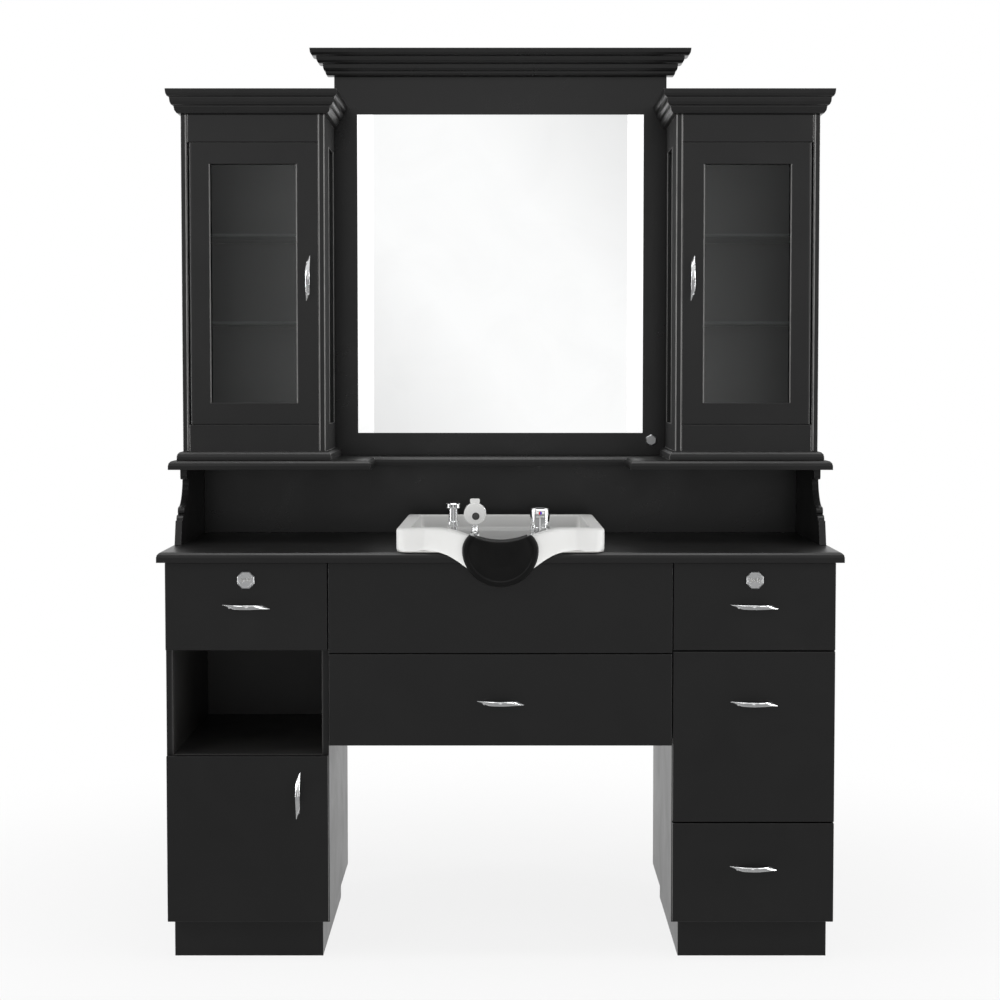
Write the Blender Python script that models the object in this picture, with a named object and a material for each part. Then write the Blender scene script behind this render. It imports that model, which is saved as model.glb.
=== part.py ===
"""Barber's shampoo station: wash-bowl counter on two drawer pedestals, with a mirrored hutch above.

Metres, +Z up.  The front faces -Y and X = 0 is the plane of symmetry.  The origin is on the floor,
midway between the neck rest's front and the back.
"""
import math

import bmesh
import bpy
from mathutils import Vector

# Shared fits
GAP = 0.0003                 # between pieces that sit on or against each other
RUN = 0.0005                 # round a part that turns or slides
REVEAL = 0.0015              # each front stands this far inside the edge of its bay
EDGE = 0.0015                # eased edge on painted panels
EDGE_STEPS = 2

# Main sizes
STATION_HEIGHT = 2.2147
COUNTER_WIDTH = 1.600
COUNTER_DEPTH = 0.663

# Base: counter and pedestals
COUNTER_THICK = 0.024
COUNTER_NOSE = 0.012         # radius of the counter's rounded top edge
PLINTH_HEIGHT = 0.090
PLINTH_SETBACK = 0.055       # plinth front behind the fronts' faces
PLINTH_INSET_OUT = 0.0106
PLINTH_INSET_IN = 0.0187
CARCASS_HEIGHT = 0.8534
PEDESTAL_WIDTH = 0.3815
PEDESTAL_INSET = 0.0155      # pedestal's outer side in from the counter's end
PANEL = 0.016                # carcass board
BACK_PANEL = 0.008
FRONT_SETBACK = 0.020        # fronts' faces behind the counter's front edge
FRONT_THICK = 0.019
FRONT_GAP = 0.0008           # bumper gap behind a closed front
TOP_DRAWER_HEIGHT = 0.208    # bay heights, measured along the fronts from the counter down
NICHE_HEIGHT = 0.2467
MIDDLE_DRAWER_HEIGHT = 0.4050
APRON_HEIGHT = 0.2140
CENTRE_DRAWER_HEIGHT = 0.2170
FRONT_BOTTOM = 0.0045        # fronts end this far above the carcass's underside

# Drawer boxes, runners and locks
BOX_WALL = 0.012
BOX_SIDE_ROOM = 0.006        # between a box and the side of its bay
BOX_HEADROOM = 0.045         # between a box's top edge and the top of its bay
RUNNER_HEIGHT = 0.012
RUNNER_REACH = 0.018         # runner ledge, out from the bay's side
BOX_DEPTH = 0.500
CENTRE_BOX_DEPTH = 0.245
LOCK_ACROSS = 0.0400
LOCK_DROP = 0.0400           # lock axis below the drawer front's top edge
LOCK_HEAD = 0.0060
LOCK_STEM = 0.0095           # stem radius
LOCK_CAM_LENGTH = 0.0290
LOCK_CAM_WIDTH = 0.0140
LOCK_CAM_THICK = 0.0030
LOCK_CAM_SETBACK = 0.0125    # cam behind the drawer front's back
LOCK_DISH = 0.0155           # radius of the dish in the head
LOCK_DISH_DEPTH = 0.0006
DIAL_WINDOW = (0.0044, 0.0110, 0.0014)     # width, height, depth
DIAL_PITCH = 0.0078

# Handles
HANDLE_LENGTH = 0.112
HANDLE_WIDTH = 0.0130
HANDLE_THICK = 0.0040
HANDLE_RISE = 0.0220         # crown of the bow, out from the face
HANDLE_SLANT = 0.0170        # length of the slanted cut at each end
HANDLE_TAPER = 0.25          # narrowing towards the ends
TOP_HANDLE_DROP = 0.1027     # handle axes below the top edges of their fronts
MIDDLE_HANDLE_DROP = 0.1224
LOW_HANDLE_DROP = 0.1064
CENTRE_HANDLE_DROP = 0.1145
BASE_HANDLE_DROP = 0.0934    # handle centre below the top edge of the base door
BASE_HANDLE_INSET = 0.0696   # from the base door's free edge
CASE_HANDLE_RISE = 0.3572    # handle centre above the case door's bottom edge
CASE_HANDLE_INSET = 0.0248   # from the case door's free edge

# Base door hinges
HINGE_CUP_RADIUS = 0.0175
HINGE_CUP_THICK = 0.0040
HINGE_ARM_WIDTH = 0.0200
HINGE_ARM_REACH = 0.0450
HINGE_ARM_THICK = 0.0060
HINGE_PLATE_THICK = 0.0050
HINGE_END_ROOM = 0.0700      # hinge centre from the door's end

# Hutch
HUTCH_RISE = 0.1790          # counter to shelf
RISER_THICK = 0.016
BRACKET_THICK = 0.016
BRACKET_INSET = 0.0115       # bracket's outer face in from the counter's end
BRACKET_FOOT = 0.4468        # depth of the bracket's foot
SHELF_OVERHANG = 0.0140      # shelf's end past the counter's end
SHELF_THICK = 0.0227
SHELF_NOSE = 0.0340          # shelf ahead of the cases' fronts
SHELF_EDGE = 0.0130          # radius of the shelf's rounded top edge
SHELF_WING = 0.4960          # width of each deep side part
SHELF_LEDGE = 0.1410         # depth of the shallow centre part

# Display cases
CASE_INSET = 0.0194          # case's outer side in from the counter's end
CASE_WIDTH = 0.3509
CASE_DEPTH = 0.3413
CASE_DROP = 0.1346           # case top below the mirror board's top
CASE_BOARD = 0.0150
CASE_MOULDING = 0.0213       # height of the base moulding
CASE_MOULDING_REACH = 0.0145
CASE_MOULDING_ROUND = 0.0130
CASE_LOW_RAIL = 0.0655       # rail under the door, above the moulding
CASE_TOP_RAIL = 0.0662
CASE_FLOOR = 0.0300          # top of the case floor above the case's underside
CASE_DOOR_THICK = 0.0180
CASE_DOOR_STILE = 0.0520
CASE_DOOR_REVEAL = 0.0015
POST_GROOVE = 0.0025         # depth of the groove beside each corner post
PIVOT_RADIUS = 0.0030
PIVOT_LENGTH = 0.0100
GLASS_THICK = 0.0040
GLASS_REBATE = 0.0080
SIDE_WINDOW_SETBACK = 0.1240 # side window behind the case's front
SIDE_WINDOW_WIDTH = 0.1480
CASE_SHELF_THICK = 0.0060
CASE_SHELF_SETBACK = 0.0250  # shelf edge behind the door
CASE_SHELF_LOW = 0.2480      # shelf heights above the door opening's bottom
CASE_SHELF_HIGH = 0.4640
SHELF_PIN_RADIUS = 0.0030
SHELF_PIN_REACH = 0.0120
SHELF_PIN_INSET = 0.0250     # pins in from the shelf's front and back edges

# Mirror board and cornices
BOARD_THICK = 0.0160
MIRROR_STILE = 0.0589        # board showing beside the light strips
MIRROR_TOP = 0.0975          # board showing above the mirror
MIRROR_RISE = 0.0584         # mirror's bottom above the shelf
MIRROR_THICK = 0.0045
STRIP_WIDTH = 0.0410         # light strip at each side of the mirror
CASE_CORNICE_STEPS = ((0.0025, 0.0149, 0.0196), (0.0166, 0.0244, 0.0200), (0.0256, 0.0333, 0.0192))
CENTRE_CORNICE_STEPS = ((0.0155, 0.0205, 0.0105), (0.0212, 0.0272, 0.0180), (0.0344, 0.0430, 0.0180),
                        (0.0502, 0.0587, 0.0188))     # reach at foot, reach at top, height
CORNICE_FLAT = 0.0030        # upright edge above each quarter round
CORNICE_ARC = 3              # facets in each quarter round
KNOB_INSET = 0.0370          # knob axis in from the board's edge
KNOB_RISE = 0.0395           # knob axis above the shelf
KNOB_RADIUS = 0.0155
KNOB_LENGTH = 0.0140
KNOB_STEM = 0.0040
KNOB_STEM_LENGTH = 0.0110    # into the board
KNOB_LOBES = 6

# Bowl and neck rest
BOWL_WIDTH = 0.4850
BOWL_BACK_WIDTH = 0.4730
BOWL_DEPTH = 0.5180
BOWL_SETBACK = 0.0020        # bowl front behind the counter's front edge
BOWL_RIM = 0.0565            # rim above the counter
BOWL_DECK = 0.0220           # tap deck above the counter
BOWL_DECK_DEPTH = 0.0910
BOWL_FILLET = 0.0090          # between the wall and the tap deck
BOWL_WALL = 0.0340           # width of the rim
BOWL_CORNER = 0.0220
BASIN_DEPTH = 0.1400         # deck to basin floor
BASIN_SKIN = 0.0120
DRAIN_SETBACK = 0.3580       # drain behind the bowl's front
DRAIN_RADIUS = 0.0260
NECK_HALF = 0.1600           # half width of the dip in the front rim
NECK_DIP = 0.0330
LIP_REACH = 0.0480           # lip ahead of the counter's front edge
RIM_EASE = 1.4               # how late the rim starts to dip
LIP_HALF = 0.2000            # half width over which the lip swells out
LIP_FALL = 1.7               # how late the lip's underside starts to fall
LIP_DROP = 0.0690            # lip's lowest point below the counter's top
REST_HALF = 0.0885           # neck rest: widest half width
REST_DROP = 0.0750           # its lowest point below the counter's top
REST_TIP_HALF = 0.0710        # half width between the tips of its horns
REST_SADDLE_HALF = 0.0620
REST_TIP_RISE = 0.0450       # its horns above the counter's top
REST_SADDLE_RISE = 0.0295    # its middle above the counter's top
REST_THICK = 0.0114          # at the raised border
REST_DISH = 0.0030           # the pad's middle is this much thinner
REST_WAIST_RISE = 0.0084     # its widest line above the counter's top
REST_SEAT = 0.0010           # between the rest and the lip it hooks over

# Waste
STRAINER_RADIUS = 0.0340
STRAINER_THICK = 0.0030
NUT_RADIUS = 0.0360
NUT_HEIGHT = 0.0120
PIPE_RADIUS = 0.0190
TRAP_DROP = 0.2000           # tailpiece below the bowl
TRAP_BEND = 0.0450
TRAP_LIFT = 0.0500
ARM_BEND = 0.0400

# Taps
MIXER_X = 0.0931
MIXER_RADIUS = 0.0235
MIXER_BASE = 0.0520
MIXER_TURRET = 0.0240
LEVER_WIDTH = 0.0190
LEVER_HEIGHT = 0.0200
LEVER_LENGTH = 0.0500
LEVER_PIN = 0.0025
LEVER_PIN_BITE = 0.0050      # pin's reach into each cheek of the turret
LEVER_ROUND = 0.0050
BREAKER_X = -0.1110
BREAKER_HEIGHT = 0.0880
BREAKER_RADIUS = 0.0105
BREAKER_FOOT = 0.0150
BREAKER_CAP = 0.0170
PLATE_THICK = 0.0030
SPRAY_X = -0.0600
SPRAY_RADIUS = 0.0260
SPRAY_RISE = 0.0630          # spray head's centre above the deck
SPRAY_HEAD = 0.0240
SPRAY_HANDLE = 0.0070
NOZZLE_RADIUS = 0.0090
NOZZLE_SHIFT = (0.0020, -0.0052)           # right and up from the head's centre
NOZZLE_DEPTH = 0.0012
GUIDE_RADIUS = 0.0115
GUIDE_HEIGHT = 0.0200
TRIGGER_WIDTH = 0.0230
TRIGGER_HEIGHT = 0.0110
TRIGGER_DEPTH = 0.0120
TRIGGER_STEM = 0.0030
TRIGGER_BORE = 0.0140        # depth of the bore that the stem runs in
TRIGGER_ROUND = 0.0030
TRIGGER_SINK = 0.0045        # tab's recess below the top of the spray head
TRIGGER_TRAVEL = 0.0030

# Worked out from the sizes above
NECK_REACH = LIP_REACH + REST_SEAT + REST_THICK
END = COUNTER_WIDTH / 2
BACK = (COUNTER_DEPTH + NECK_REACH) / 2
FRONT = BACK - COUNTER_DEPTH
FACE = FRONT + FRONT_SETBACK
FACE_BACK = FACE + FRONT_THICK
CARCASS_FRONT = FACE_BACK + FRONT_GAP
CARCASS_Z0 = PLINTH_HEIGHT + GAP
CARCASS_Z1 = CARCASS_Z0 + CARCASS_HEIGHT
PEDESTAL_OUT = END - PEDESTAL_INSET
PEDESTAL_IN = PEDESTAL_OUT - PEDESTAL_WIDTH
COUNTER_Z0 = CARCASS_Z1 + GAP
COUNTER_TOP = COUNTER_Z0 + COUNTER_THICK
HUTCH_Z0 = COUNTER_TOP + GAP
BRACKET_OUT = END - BRACKET_INSET
SHELF_END = END + SHELF_OVERHANG
SHELF_Z0 = HUTCH_Z0 + HUTCH_RISE + GAP
SHELF_TOP = SHELF_Z0 + SHELF_THICK
CASE_OUT = END - CASE_INSET
CASE_IN = CASE_OUT - CASE_WIDTH
CASE_FRONT = BACK - CASE_DEPTH
CASE_Z0 = SHELF_TOP + GAP
BOARD_Z1 = STATION_HEIGHT - sum(step[2] for step in CENTRE_CORNICE_STEPS) - GAP
CASE_Z1 = BOARD_Z1 - CASE_DROP
DOOR_Z0 = CASE_Z0 + CASE_MOULDING + CASE_LOW_RAIL
DOOR_Z1 = CASE_Z1 - CASE_TOP_RAIL
BOARD_FRONT = BACK - BOARD_THICK
BOARD_HALF = CASE_IN - GAP
MIRROR_HALF = BOARD_HALF - MIRROR_STILE - STRIP_WIDTH - GAP
MIRROR_Z = (CASE_Z0 + MIRROR_RISE, BOARD_Z1 - MIRROR_TOP)
KNOB_X = BOARD_HALF - KNOB_INSET
FRONTS_TOP = CARCASS_Z1
FRONTS_BOTTOM = CARCASS_Z0 + FRONT_BOTTOM
TOP_SEAM = FRONTS_TOP - TOP_DRAWER_HEIGHT
NICHE_FLOOR = TOP_SEAM - NICHE_HEIGHT
MIDDLE_SEAM = TOP_SEAM - MIDDLE_DRAWER_HEIGHT
APRON_SEAM = FRONTS_TOP - APRON_HEIGHT
CENTRE_BOTTOM = APRON_SEAM - CENTRE_DRAWER_HEIGHT
BOWL_FRONT = FRONT + BOWL_SETBACK
BOWL_BACK = BOWL_FRONT + BOWL_DEPTH
RIM_Z = COUNTER_TOP + BOWL_RIM
DECK_Z = COUNTER_TOP + BOWL_DECK
BASIN_Z = DECK_Z - BASIN_DEPTH
DRAIN_Y = BOWL_FRONT + DRAIN_SETBACK
TAP_Y = BOWL_FRONT + BOWL_WALL + (BOWL_FILLET + BOWL_DECK_DEPTH) / 2

LEFT = -1
RIGHT = 1


# Scene and materials

for old in list(bpy.data.objects):
    bpy.data.objects.remove(old, do_unlink=True)

STATION = bpy.data.objects.new('station', None)
bpy.context.collection.objects.link(STATION)


def material(name, colour, roughness, metallic=0.0):
    """Make one Principled material."""
    made = bpy.data.materials.new(name)
    made.use_nodes = True
    shader = made.node_tree.nodes['Principled BSDF']
    shader.inputs['Base Color'].default_value = (*colour, 1.0)
    shader.inputs['Roughness'].default_value = roughness
    shader.inputs['Metallic'].default_value = metallic
    return made


BLACK_PAINT = material('black_paint', (0.018, 0.018, 0.019), 0.38)
BLACK_BOX = material('black_melamine', (0.022, 0.022, 0.023), 0.55)
CHROME = material('chrome', (0.78, 0.79, 0.80), 0.10, 1.0)
SATIN_CHROME = material('satin_chrome', (0.62, 0.63, 0.64), 0.32, 1.0)
CERAMIC = material('glazed_ceramic', (0.84, 0.84, 0.84), 0.10)
RUBBER = material('black_rubber', (0.012, 0.012, 0.012), 0.45)
WHITE_PLASTIC = material('white_plastic', (0.80, 0.80, 0.79), 0.30)
PIPE_PLASTIC = material('pipe_plastic', (0.55, 0.55, 0.54), 0.40)
CLEAR_GLASS = material('clear_glass', (0.62, 0.66, 0.66), 0.04)
MIRROR = material('mirror', (0.86, 0.87, 0.88), 0.02, 1.0)
DIFFUSER = material('light_diffuser', (0.92, 0.92, 0.91), 0.35)


# Mesh helpers

def add_object(name, mesh_data, finish, origin=(0.0, 0.0, 0.0)):
    """Link a bmesh as an object of the station, with its origin at the given point."""
    bmesh.ops.remove_doubles(mesh_data, verts=mesh_data.verts, dist=1e-6)
    bmesh.ops.recalc_face_normals(mesh_data, faces=mesh_data.faces)
    bmesh.ops.translate(mesh_data, verts=mesh_data.verts, vec=-Vector(origin))
    mesh = bpy.data.meshes.new(name)
    mesh_data.to_mesh(mesh)
    mesh_data.free()
    made = bpy.data.objects.new(name, mesh)
    made.location = origin
    made.parent = STATION
    bpy.context.collection.objects.link(made)
    mesh.materials.append(finish)
    return made


def grid_loft(rings, loop=False):
    """Bridge rings of equally many points; close the ends with caps, or join last to first."""
    made = bmesh.new()
    rows = [[made.verts.new(p) for p in ring] for ring in rings]
    pairs = list(zip(rows, rows[1:]))
    if loop:
        pairs.append((rows[-1], rows[0]))
    else:
        made.faces.new(rows[0])
        made.faces.new(rows[-1])
    for low, high in pairs:
        count = len(low)
        for i in range(count):
            j = (i + 1) % count
            made.faces.new((low[i], low[j], high[j], high[i]))
    return made


def box(x0, x1, y0, y1, z0, z1):
    """A box between two corners."""
    ring = ((x0, y0), (x1, y0), (x1, y1), (x0, y1))
    return grid_loft([[(x, y, z) for x, y in ring] for z in (z0, z1)])


def prism(outline, place, start, end):
    """Extrude a 2-D outline between two values of the third axis; place(u, v, w) gives the point."""
    return grid_loft([[place(u, v, w) for u, v in outline] for w in (start, end)])


def lathe(profile, centre, axis='Z', sides=20):
    """Turn (radius, height) points round an axis through centre; both ends are capped."""
    rings = []
    for radius, height in profile:
        ring = []
        for k in range(sides):
            angle = math.tau * (k + 0.5) / sides
            a = radius * math.cos(angle)
            b = radius * math.sin(angle)
            offset = {'X': (height, a, b), 'Y': (a, height, b), 'Z': (a, b, height)}[axis]
            ring.append(tuple(c + o for c, o in zip(centre, offset)))
        rings.append(ring)
    return grid_loft(rings)


def rod(radius, start, end, centre, axis='Z', sides=12):
    """A plain round bar along an axis."""
    return lathe(((radius, start), (radius, end)), centre, axis, sides)


def bore_radius(radius, sides=12):
    """Radius of a faceted bore that a round pin of this radius clears at every angle."""
    return (radius + RUN) / math.cos(math.pi / sides)


def combine(target, operation, tools):
    """Apply Boolean tools to an object, then drop the tools."""
    for tool in tools:
        cutter = add_object('tool', tool, target.data.materials[0])
        modifier = target.modifiers.new(operation.lower(), 'BOOLEAN')
        modifier.operation = operation
        modifier.solver = 'EXACT'
        modifier.object = cutter
        bpy.context.view_layer.update()
        graph = bpy.context.evaluated_depsgraph_get()
        mesh = bpy.data.meshes.new_from_object(target.evaluated_get(graph))
        target.modifiers.clear()
        spent = target.data
        name = spent.name
        target.data = mesh
        bpy.data.meshes.remove(spent)
        mesh.name = name
        bpy.data.objects.remove(cutter, do_unlink=True)
    return target


def cut(target, *tools):
    return combine(target, 'DIFFERENCE', tools)


def fuse(target, *tools):
    return combine(target, 'UNION', tools)


def ease(target, width=EDGE, steps=EDGE_STEPS, angle=50.0):
    """Round an object's sharp edges with a Bevel modifier."""
    modifier = target.modifiers.new('eased_edges', 'BEVEL')
    modifier.width = width
    modifier.segments = steps
    modifier.limit_method = 'ANGLE'
    modifier.angle_limit = math.radians(angle)
    modifier.harden_normals = False
    return target


def smooth(target, angle=40.0):
    """Shade a round piece smooth, keeping its real edges sharp."""
    target.data.shade_smooth()
    target.data.set_sharp_from_angle(angle=math.radians(angle))
    return target


def mirrored(side, x0, x1):
    """The X range of a piece given for the right side, on the given side."""
    return tuple(sorted((side * x0, side * x1)))


def arc(centre_u, centre_v, radius, start, end, steps):
    """Points along an arc, angles in degrees."""
    points = []
    for k in range(steps + 1):
        angle = math.radians(start + (end - start) * k / steps)
        points.append((centre_u + radius * math.cos(angle), centre_v + radius * math.sin(angle)))
    return points


def inset_outline(outline, insets):
    """Move each edge of an anticlockwise outline inwards by its own amount and rejoin the corners."""
    count = len(outline)
    lines = []
    for k in range(count):
        start = Vector(outline[k])
        along = (Vector(outline[(k + 1) % count]) - start).normalized()
        inward = Vector((-along.y, along.x))
        lines.append((start + inward * insets[k], along))
    corners = []
    for k in range(count):
        here, along = lines[k - 1]
        there, across = lines[k]
        turn = along.x * across.y - along.y * across.x
        step = ((there.x - here.x) * across.y - (there.y - here.y) * across.x) / turn
        corners.append(tuple(here + along * step))
    return corners


def nosed_slab(outline, nosed, z0, z1, radius, steps=3):
    """A board of this plan whose chosen edges are rounded over at the top."""
    rings = [[(x, y, z0) for x, y in outline]]
    for k in range(steps + 1):
        angle = math.radians(90.0 * k / steps)
        inset = radius * (1 - math.cos(angle))
        height = z1 - radius + radius * math.sin(angle)
        plan = inset_outline(outline, [inset * edge for edge in nosed])
        rings.append([(x, y, height) for x, y in plan])
    return grid_loft(rings)


# Handles: slender bow pulls with slanted, pointed ends, cast in one piece with their feet

def handle(name, x, y, z, upright=False):
    """A bow pull centred on (x, z) of a face at y, lying across or standing upright."""
    section = arc(0.0, 0.0, 1.0, 22.5, 337.5, 7)
    reach = (HANDLE_LENGTH - HANDLE_SLANT) / 2
    rings = []
    for s in (-1.0, -0.94, -0.84, -0.74, -0.58, -0.32, 0.0, 0.32, 0.58, 0.74, 0.84, 0.94, 1.0):
        crown = HANDLE_RISE * (1 - abs(s) ** 2.2) + HANDLE_THICK * 0.8
        half = HANDLE_WIDTH / 2 * (1 - HANDLE_TAPER * s * s)
        on_foot = 0.7 < abs(s) < 0.9
        ring = []
        for u, v in section:
            across = half * u
            along = s * reach - HANDLE_SLANT / 2 * u * abs(s) ** 3
            out = GAP if on_foot and v < 0 else crown + HANDLE_THICK / 2 * v
            if upright:
                ring.append((x - across, y - out, z + along))
            else:
                ring.append((x + along, y - out, z + across))
        rings.append(ring)
    return smooth(add_object(name, grid_loft(rings), CHROME, (x, y, z)))


# Pedestals: carcasses with their drawer bays, runners and hinge plates, on recessed plinths

def bay_cut(x0, x1, z0, z1):
    """The space of one bay, open at the front."""
    return box(x0, x1, CARCASS_FRONT - PANEL, BACK - BACK_PANEL, z0, z1)


def runner(x_side, inward, z_top, y_end):
    """A drawer runner glued to the side of a bay; inward is +1 or -1 along X."""
    bite = 0.001 * inward
    x0, x1 = sorted((x_side - bite, x_side + RUNNER_REACH * inward))
    return box(x0, x1, CARCASS_FRONT + PANEL, y_end, z_top - RUNNER_HEIGHT, z_top)


RUNNER_END = CARCASS_FRONT + BOX_DEPTH - PANEL
BAY_IN = PEDESTAL_IN + PANEL
BAY_OUT = PEDESTAL_OUT - PANEL
TOP_BAY = (TOP_SEAM + PANEL, CARCASS_Z1 - PANEL)
MIDDLE_BAY = (MIDDLE_SEAM + PANEL, TOP_SEAM)
LOW_BAY = (CARCASS_Z0 + PANEL, MIDDLE_SEAM)
NICHE_BAY = (NICHE_FLOOR, TOP_SEAM)
BASE_BAY = (CARCASS_Z0 + PANEL, NICHE_FLOOR - PANEL)
RUNNER_LIFT = 0.004          # runner's underside above the floor of its bay
LOCK_Z = FRONTS_TOP - REVEAL - LOCK_DROP
LOCK_CAM_Y = FACE_BACK + LOCK_CAM_SETBACK
PEDESTAL_MID = (PEDESTAL_IN + PEDESTAL_OUT) / 2


def box_bottom(bay):
    """Height of the underside of a drawer box that rides on its runners."""
    return bay[0] + RUNNER_LIFT + RUNNER_HEIGHT + GAP


def pedestal(side, name, bays, drawer_bays):
    """One carcass: bays cut from the front, runners added, and a mortise for the lock's cam."""
    x0, x1 = mirrored(side, PEDESTAL_IN, PEDESTAL_OUT)
    made = add_object(name, box(x0, x1, CARCASS_FRONT, BACK, CARCASS_Z0, CARCASS_Z1), BLACK_PAINT)
    x0, x1 = mirrored(side, BAY_IN, BAY_OUT)
    for bay in bays:
        cut(made, bay_cut(x0, x1, *bay))
    for bay in drawer_bays:
        top = box_bottom(bay) - GAP
        fuse(made, runner(x0, 1, top, RUNNER_END), runner(x1, -1, top, RUNNER_END))
    mid = side * PEDESTAL_MID
    sweep = math.hypot(LOCK_CAM_LENGTH, LOCK_CAM_WIDTH / 2) + RUN
    cut(made, box(mid - sweep, mid + sweep, LOCK_CAM_Y - RUN, LOCK_CAM_Y + LOCK_CAM_THICK + RUN,
                  TOP_BAY[1] - PANEL, LOCK_Z + sweep))
    return made


def plinth(side, name):
    """The recessed foot under one pedestal."""
    x0, x1 = mirrored(side, PEDESTAL_IN + PLINTH_INSET_IN, PEDESTAL_OUT - PLINTH_INSET_OUT)
    made = add_object(name, box(x0, x1, FACE + PLINTH_SETBACK, BACK, 0.0, PLINTH_HEIGHT), BLACK_PAINT)
    return made


left_pedestal = pedestal(LEFT, 'left_pedestal', (TOP_BAY, NICHE_BAY, BASE_BAY), (TOP_BAY,))
right_pedestal = pedestal(RIGHT, 'right_pedestal', (TOP_BAY, MIDDLE_BAY, LOW_BAY),
                          (TOP_BAY, MIDDLE_BAY, LOW_BAY))
plinth(LEFT, 'left_plinth')
plinth(RIGHT, 'right_plinth')


# Base door: an overlay door on two concealed hinges, hung on the left pedestal's outer side

BASE_DOOR_Z = (FRONTS_BOTTOM, NICHE_FLOOR - REVEAL)
BASE_DOOR_X = (-(PEDESTAL_OUT - REVEAL), -(PEDESTAL_IN + REVEAL))
HINGE_X = -PEDESTAL_OUT + PANEL + HINGE_PLATE_THICK
HINGE_HEIGHTS = (BASE_DOOR_Z[0] + HINGE_END_ROOM, BASE_DOOR_Z[1] - HINGE_END_ROOM)
BASE_DOOR_AXIS = (-PEDESTAL_OUT, FACE_BACK, (BASE_DOOR_Z[0] + BASE_DOOR_Z[1]) / 2)

base_door = add_object('base_door', box(*BASE_DOOR_X, FACE, FACE_BACK, *BASE_DOOR_Z), BLACK_PAINT,
                       BASE_DOOR_AXIS)
for hinge_z in HINGE_HEIGHTS:
    plate_half = HINGE_ARM_WIDTH / 2 + 0.006
    fuse(left_pedestal, box(-BAY_OUT - 0.001, HINGE_X, CARCASS_FRONT + PANEL,
                            CARCASS_FRONT + HINGE_ARM_REACH, hinge_z - plate_half, hinge_z + plate_half))
    cup_x = HINGE_X + GAP + HINGE_CUP_RADIUS
    arm = box(HINGE_X + GAP, HINGE_X + GAP + HINGE_ARM_THICK, FACE_BACK - 0.002,
              FACE_BACK + HINGE_ARM_REACH, hinge_z - HINGE_ARM_WIDTH / 2, hinge_z + HINGE_ARM_WIDTH / 2)
    cup = rod(HINGE_CUP_RADIUS, -0.002, HINGE_CUP_THICK, (cup_x, FACE_BACK, hinge_z), 'Y', 20)
    fuse(base_door, cup, arm)
handle('base_door_handle', BASE_DOOR_X[1] - BASE_HANDLE_INSET, FACE,
       BASE_DOOR_Z[1] - BASE_HANDLE_DROP, upright=True)


# Drawers: a painted front screwed to an open-fronted box that rides on the runners

def drawer(name, front_x, front_z, bay_x, bay, depth, handle_drop):
    """Front, box and handle of one drawer; all three move together."""
    mid = (front_x[0] + front_x[1]) / 2
    origin = (mid, FACE, (front_z[0] + front_z[1]) / 2)
    front = add_object(name + '_front', box(*front_x, FACE, FACE_BACK, *front_z), BLACK_PAINT, origin)
    x0 = bay_x[0] + BOX_SIDE_ROOM
    x1 = bay_x[1] - BOX_SIDE_ROOM
    y0 = FACE_BACK + GAP
    z0 = box_bottom(bay)
    z1 = bay[1] - BOX_HEADROOM
    tray = add_object(name + '_box', box(x0, x1, y0, y0 + depth, z0, z1), BLACK_BOX, origin)
    cut(tray, box(x0 + BOX_WALL, x1 - BOX_WALL, y0 - BOX_WALL, y0 + depth - BOX_WALL, z0 + BOX_WALL,
                  z1 + BOX_WALL))
    handle(name + '_handle', mid, FACE, front_z[1] - handle_drop)
    return front


def lock(front, name, side):
    """A round lock through a drawer front: octagonal head, stem and cam, turned as one."""
    x = side * PEDESTAL_MID
    axis = (x, FACE, LOCK_Z)
    cut(front, rod(bore_radius(LOCK_STEM, 24), -FRONT_THICK, 2 * FRONT_THICK, axis, 'Y', 24))
    corner = LOCK_ACROSS / 2 / math.cos(math.pi / 8)
    head = lathe(((corner * 0.90, -LOCK_HEAD), (corner, -LOCK_HEAD * 0.6), (corner, -GAP)), axis, 'Y', 8)
    made = add_object(name, head, SATIN_CHROME, axis)
    dish_floor = FACE - LOCK_HEAD + LOCK_DISH_DEPTH
    cut(made, rod(LOCK_DISH, -2 * LOCK_HEAD, LOCK_DISH_DEPTH - LOCK_HEAD, axis, 'Y', 24))
    wide, tall, deep = DIAL_WINDOW
    for dial in (-1, 0, 1):
        middle = x + dial * DIAL_PITCH
        cut(made, box(middle - wide / 2, middle + wide / 2, FACE - 2 * LOCK_HEAD, dish_floor + deep,
                      LOCK_Z - tall / 2, LOCK_Z + tall / 2))
    stem_end = LOCK_CAM_Y + LOCK_CAM_THICK - FACE
    stem = rod(LOCK_STEM, -LOCK_HEAD / 2, stem_end, axis, 'Y', 24)
    cam = box(x, x + LOCK_CAM_LENGTH, LOCK_CAM_Y, LOCK_CAM_Y + LOCK_CAM_THICK - GAP,
              LOCK_Z - LOCK_CAM_WIDTH / 2, LOCK_Z + LOCK_CAM_WIDTH / 2)
    return smooth(fuse(made, stem, cam), 30.0)


def side_fronts(side):
    """X ranges of one pedestal's fronts and bays."""
    return (mirrored(side, PEDESTAL_IN + REVEAL, PEDESTAL_OUT - REVEAL), mirrored(side, BAY_IN, BAY_OUT))


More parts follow.
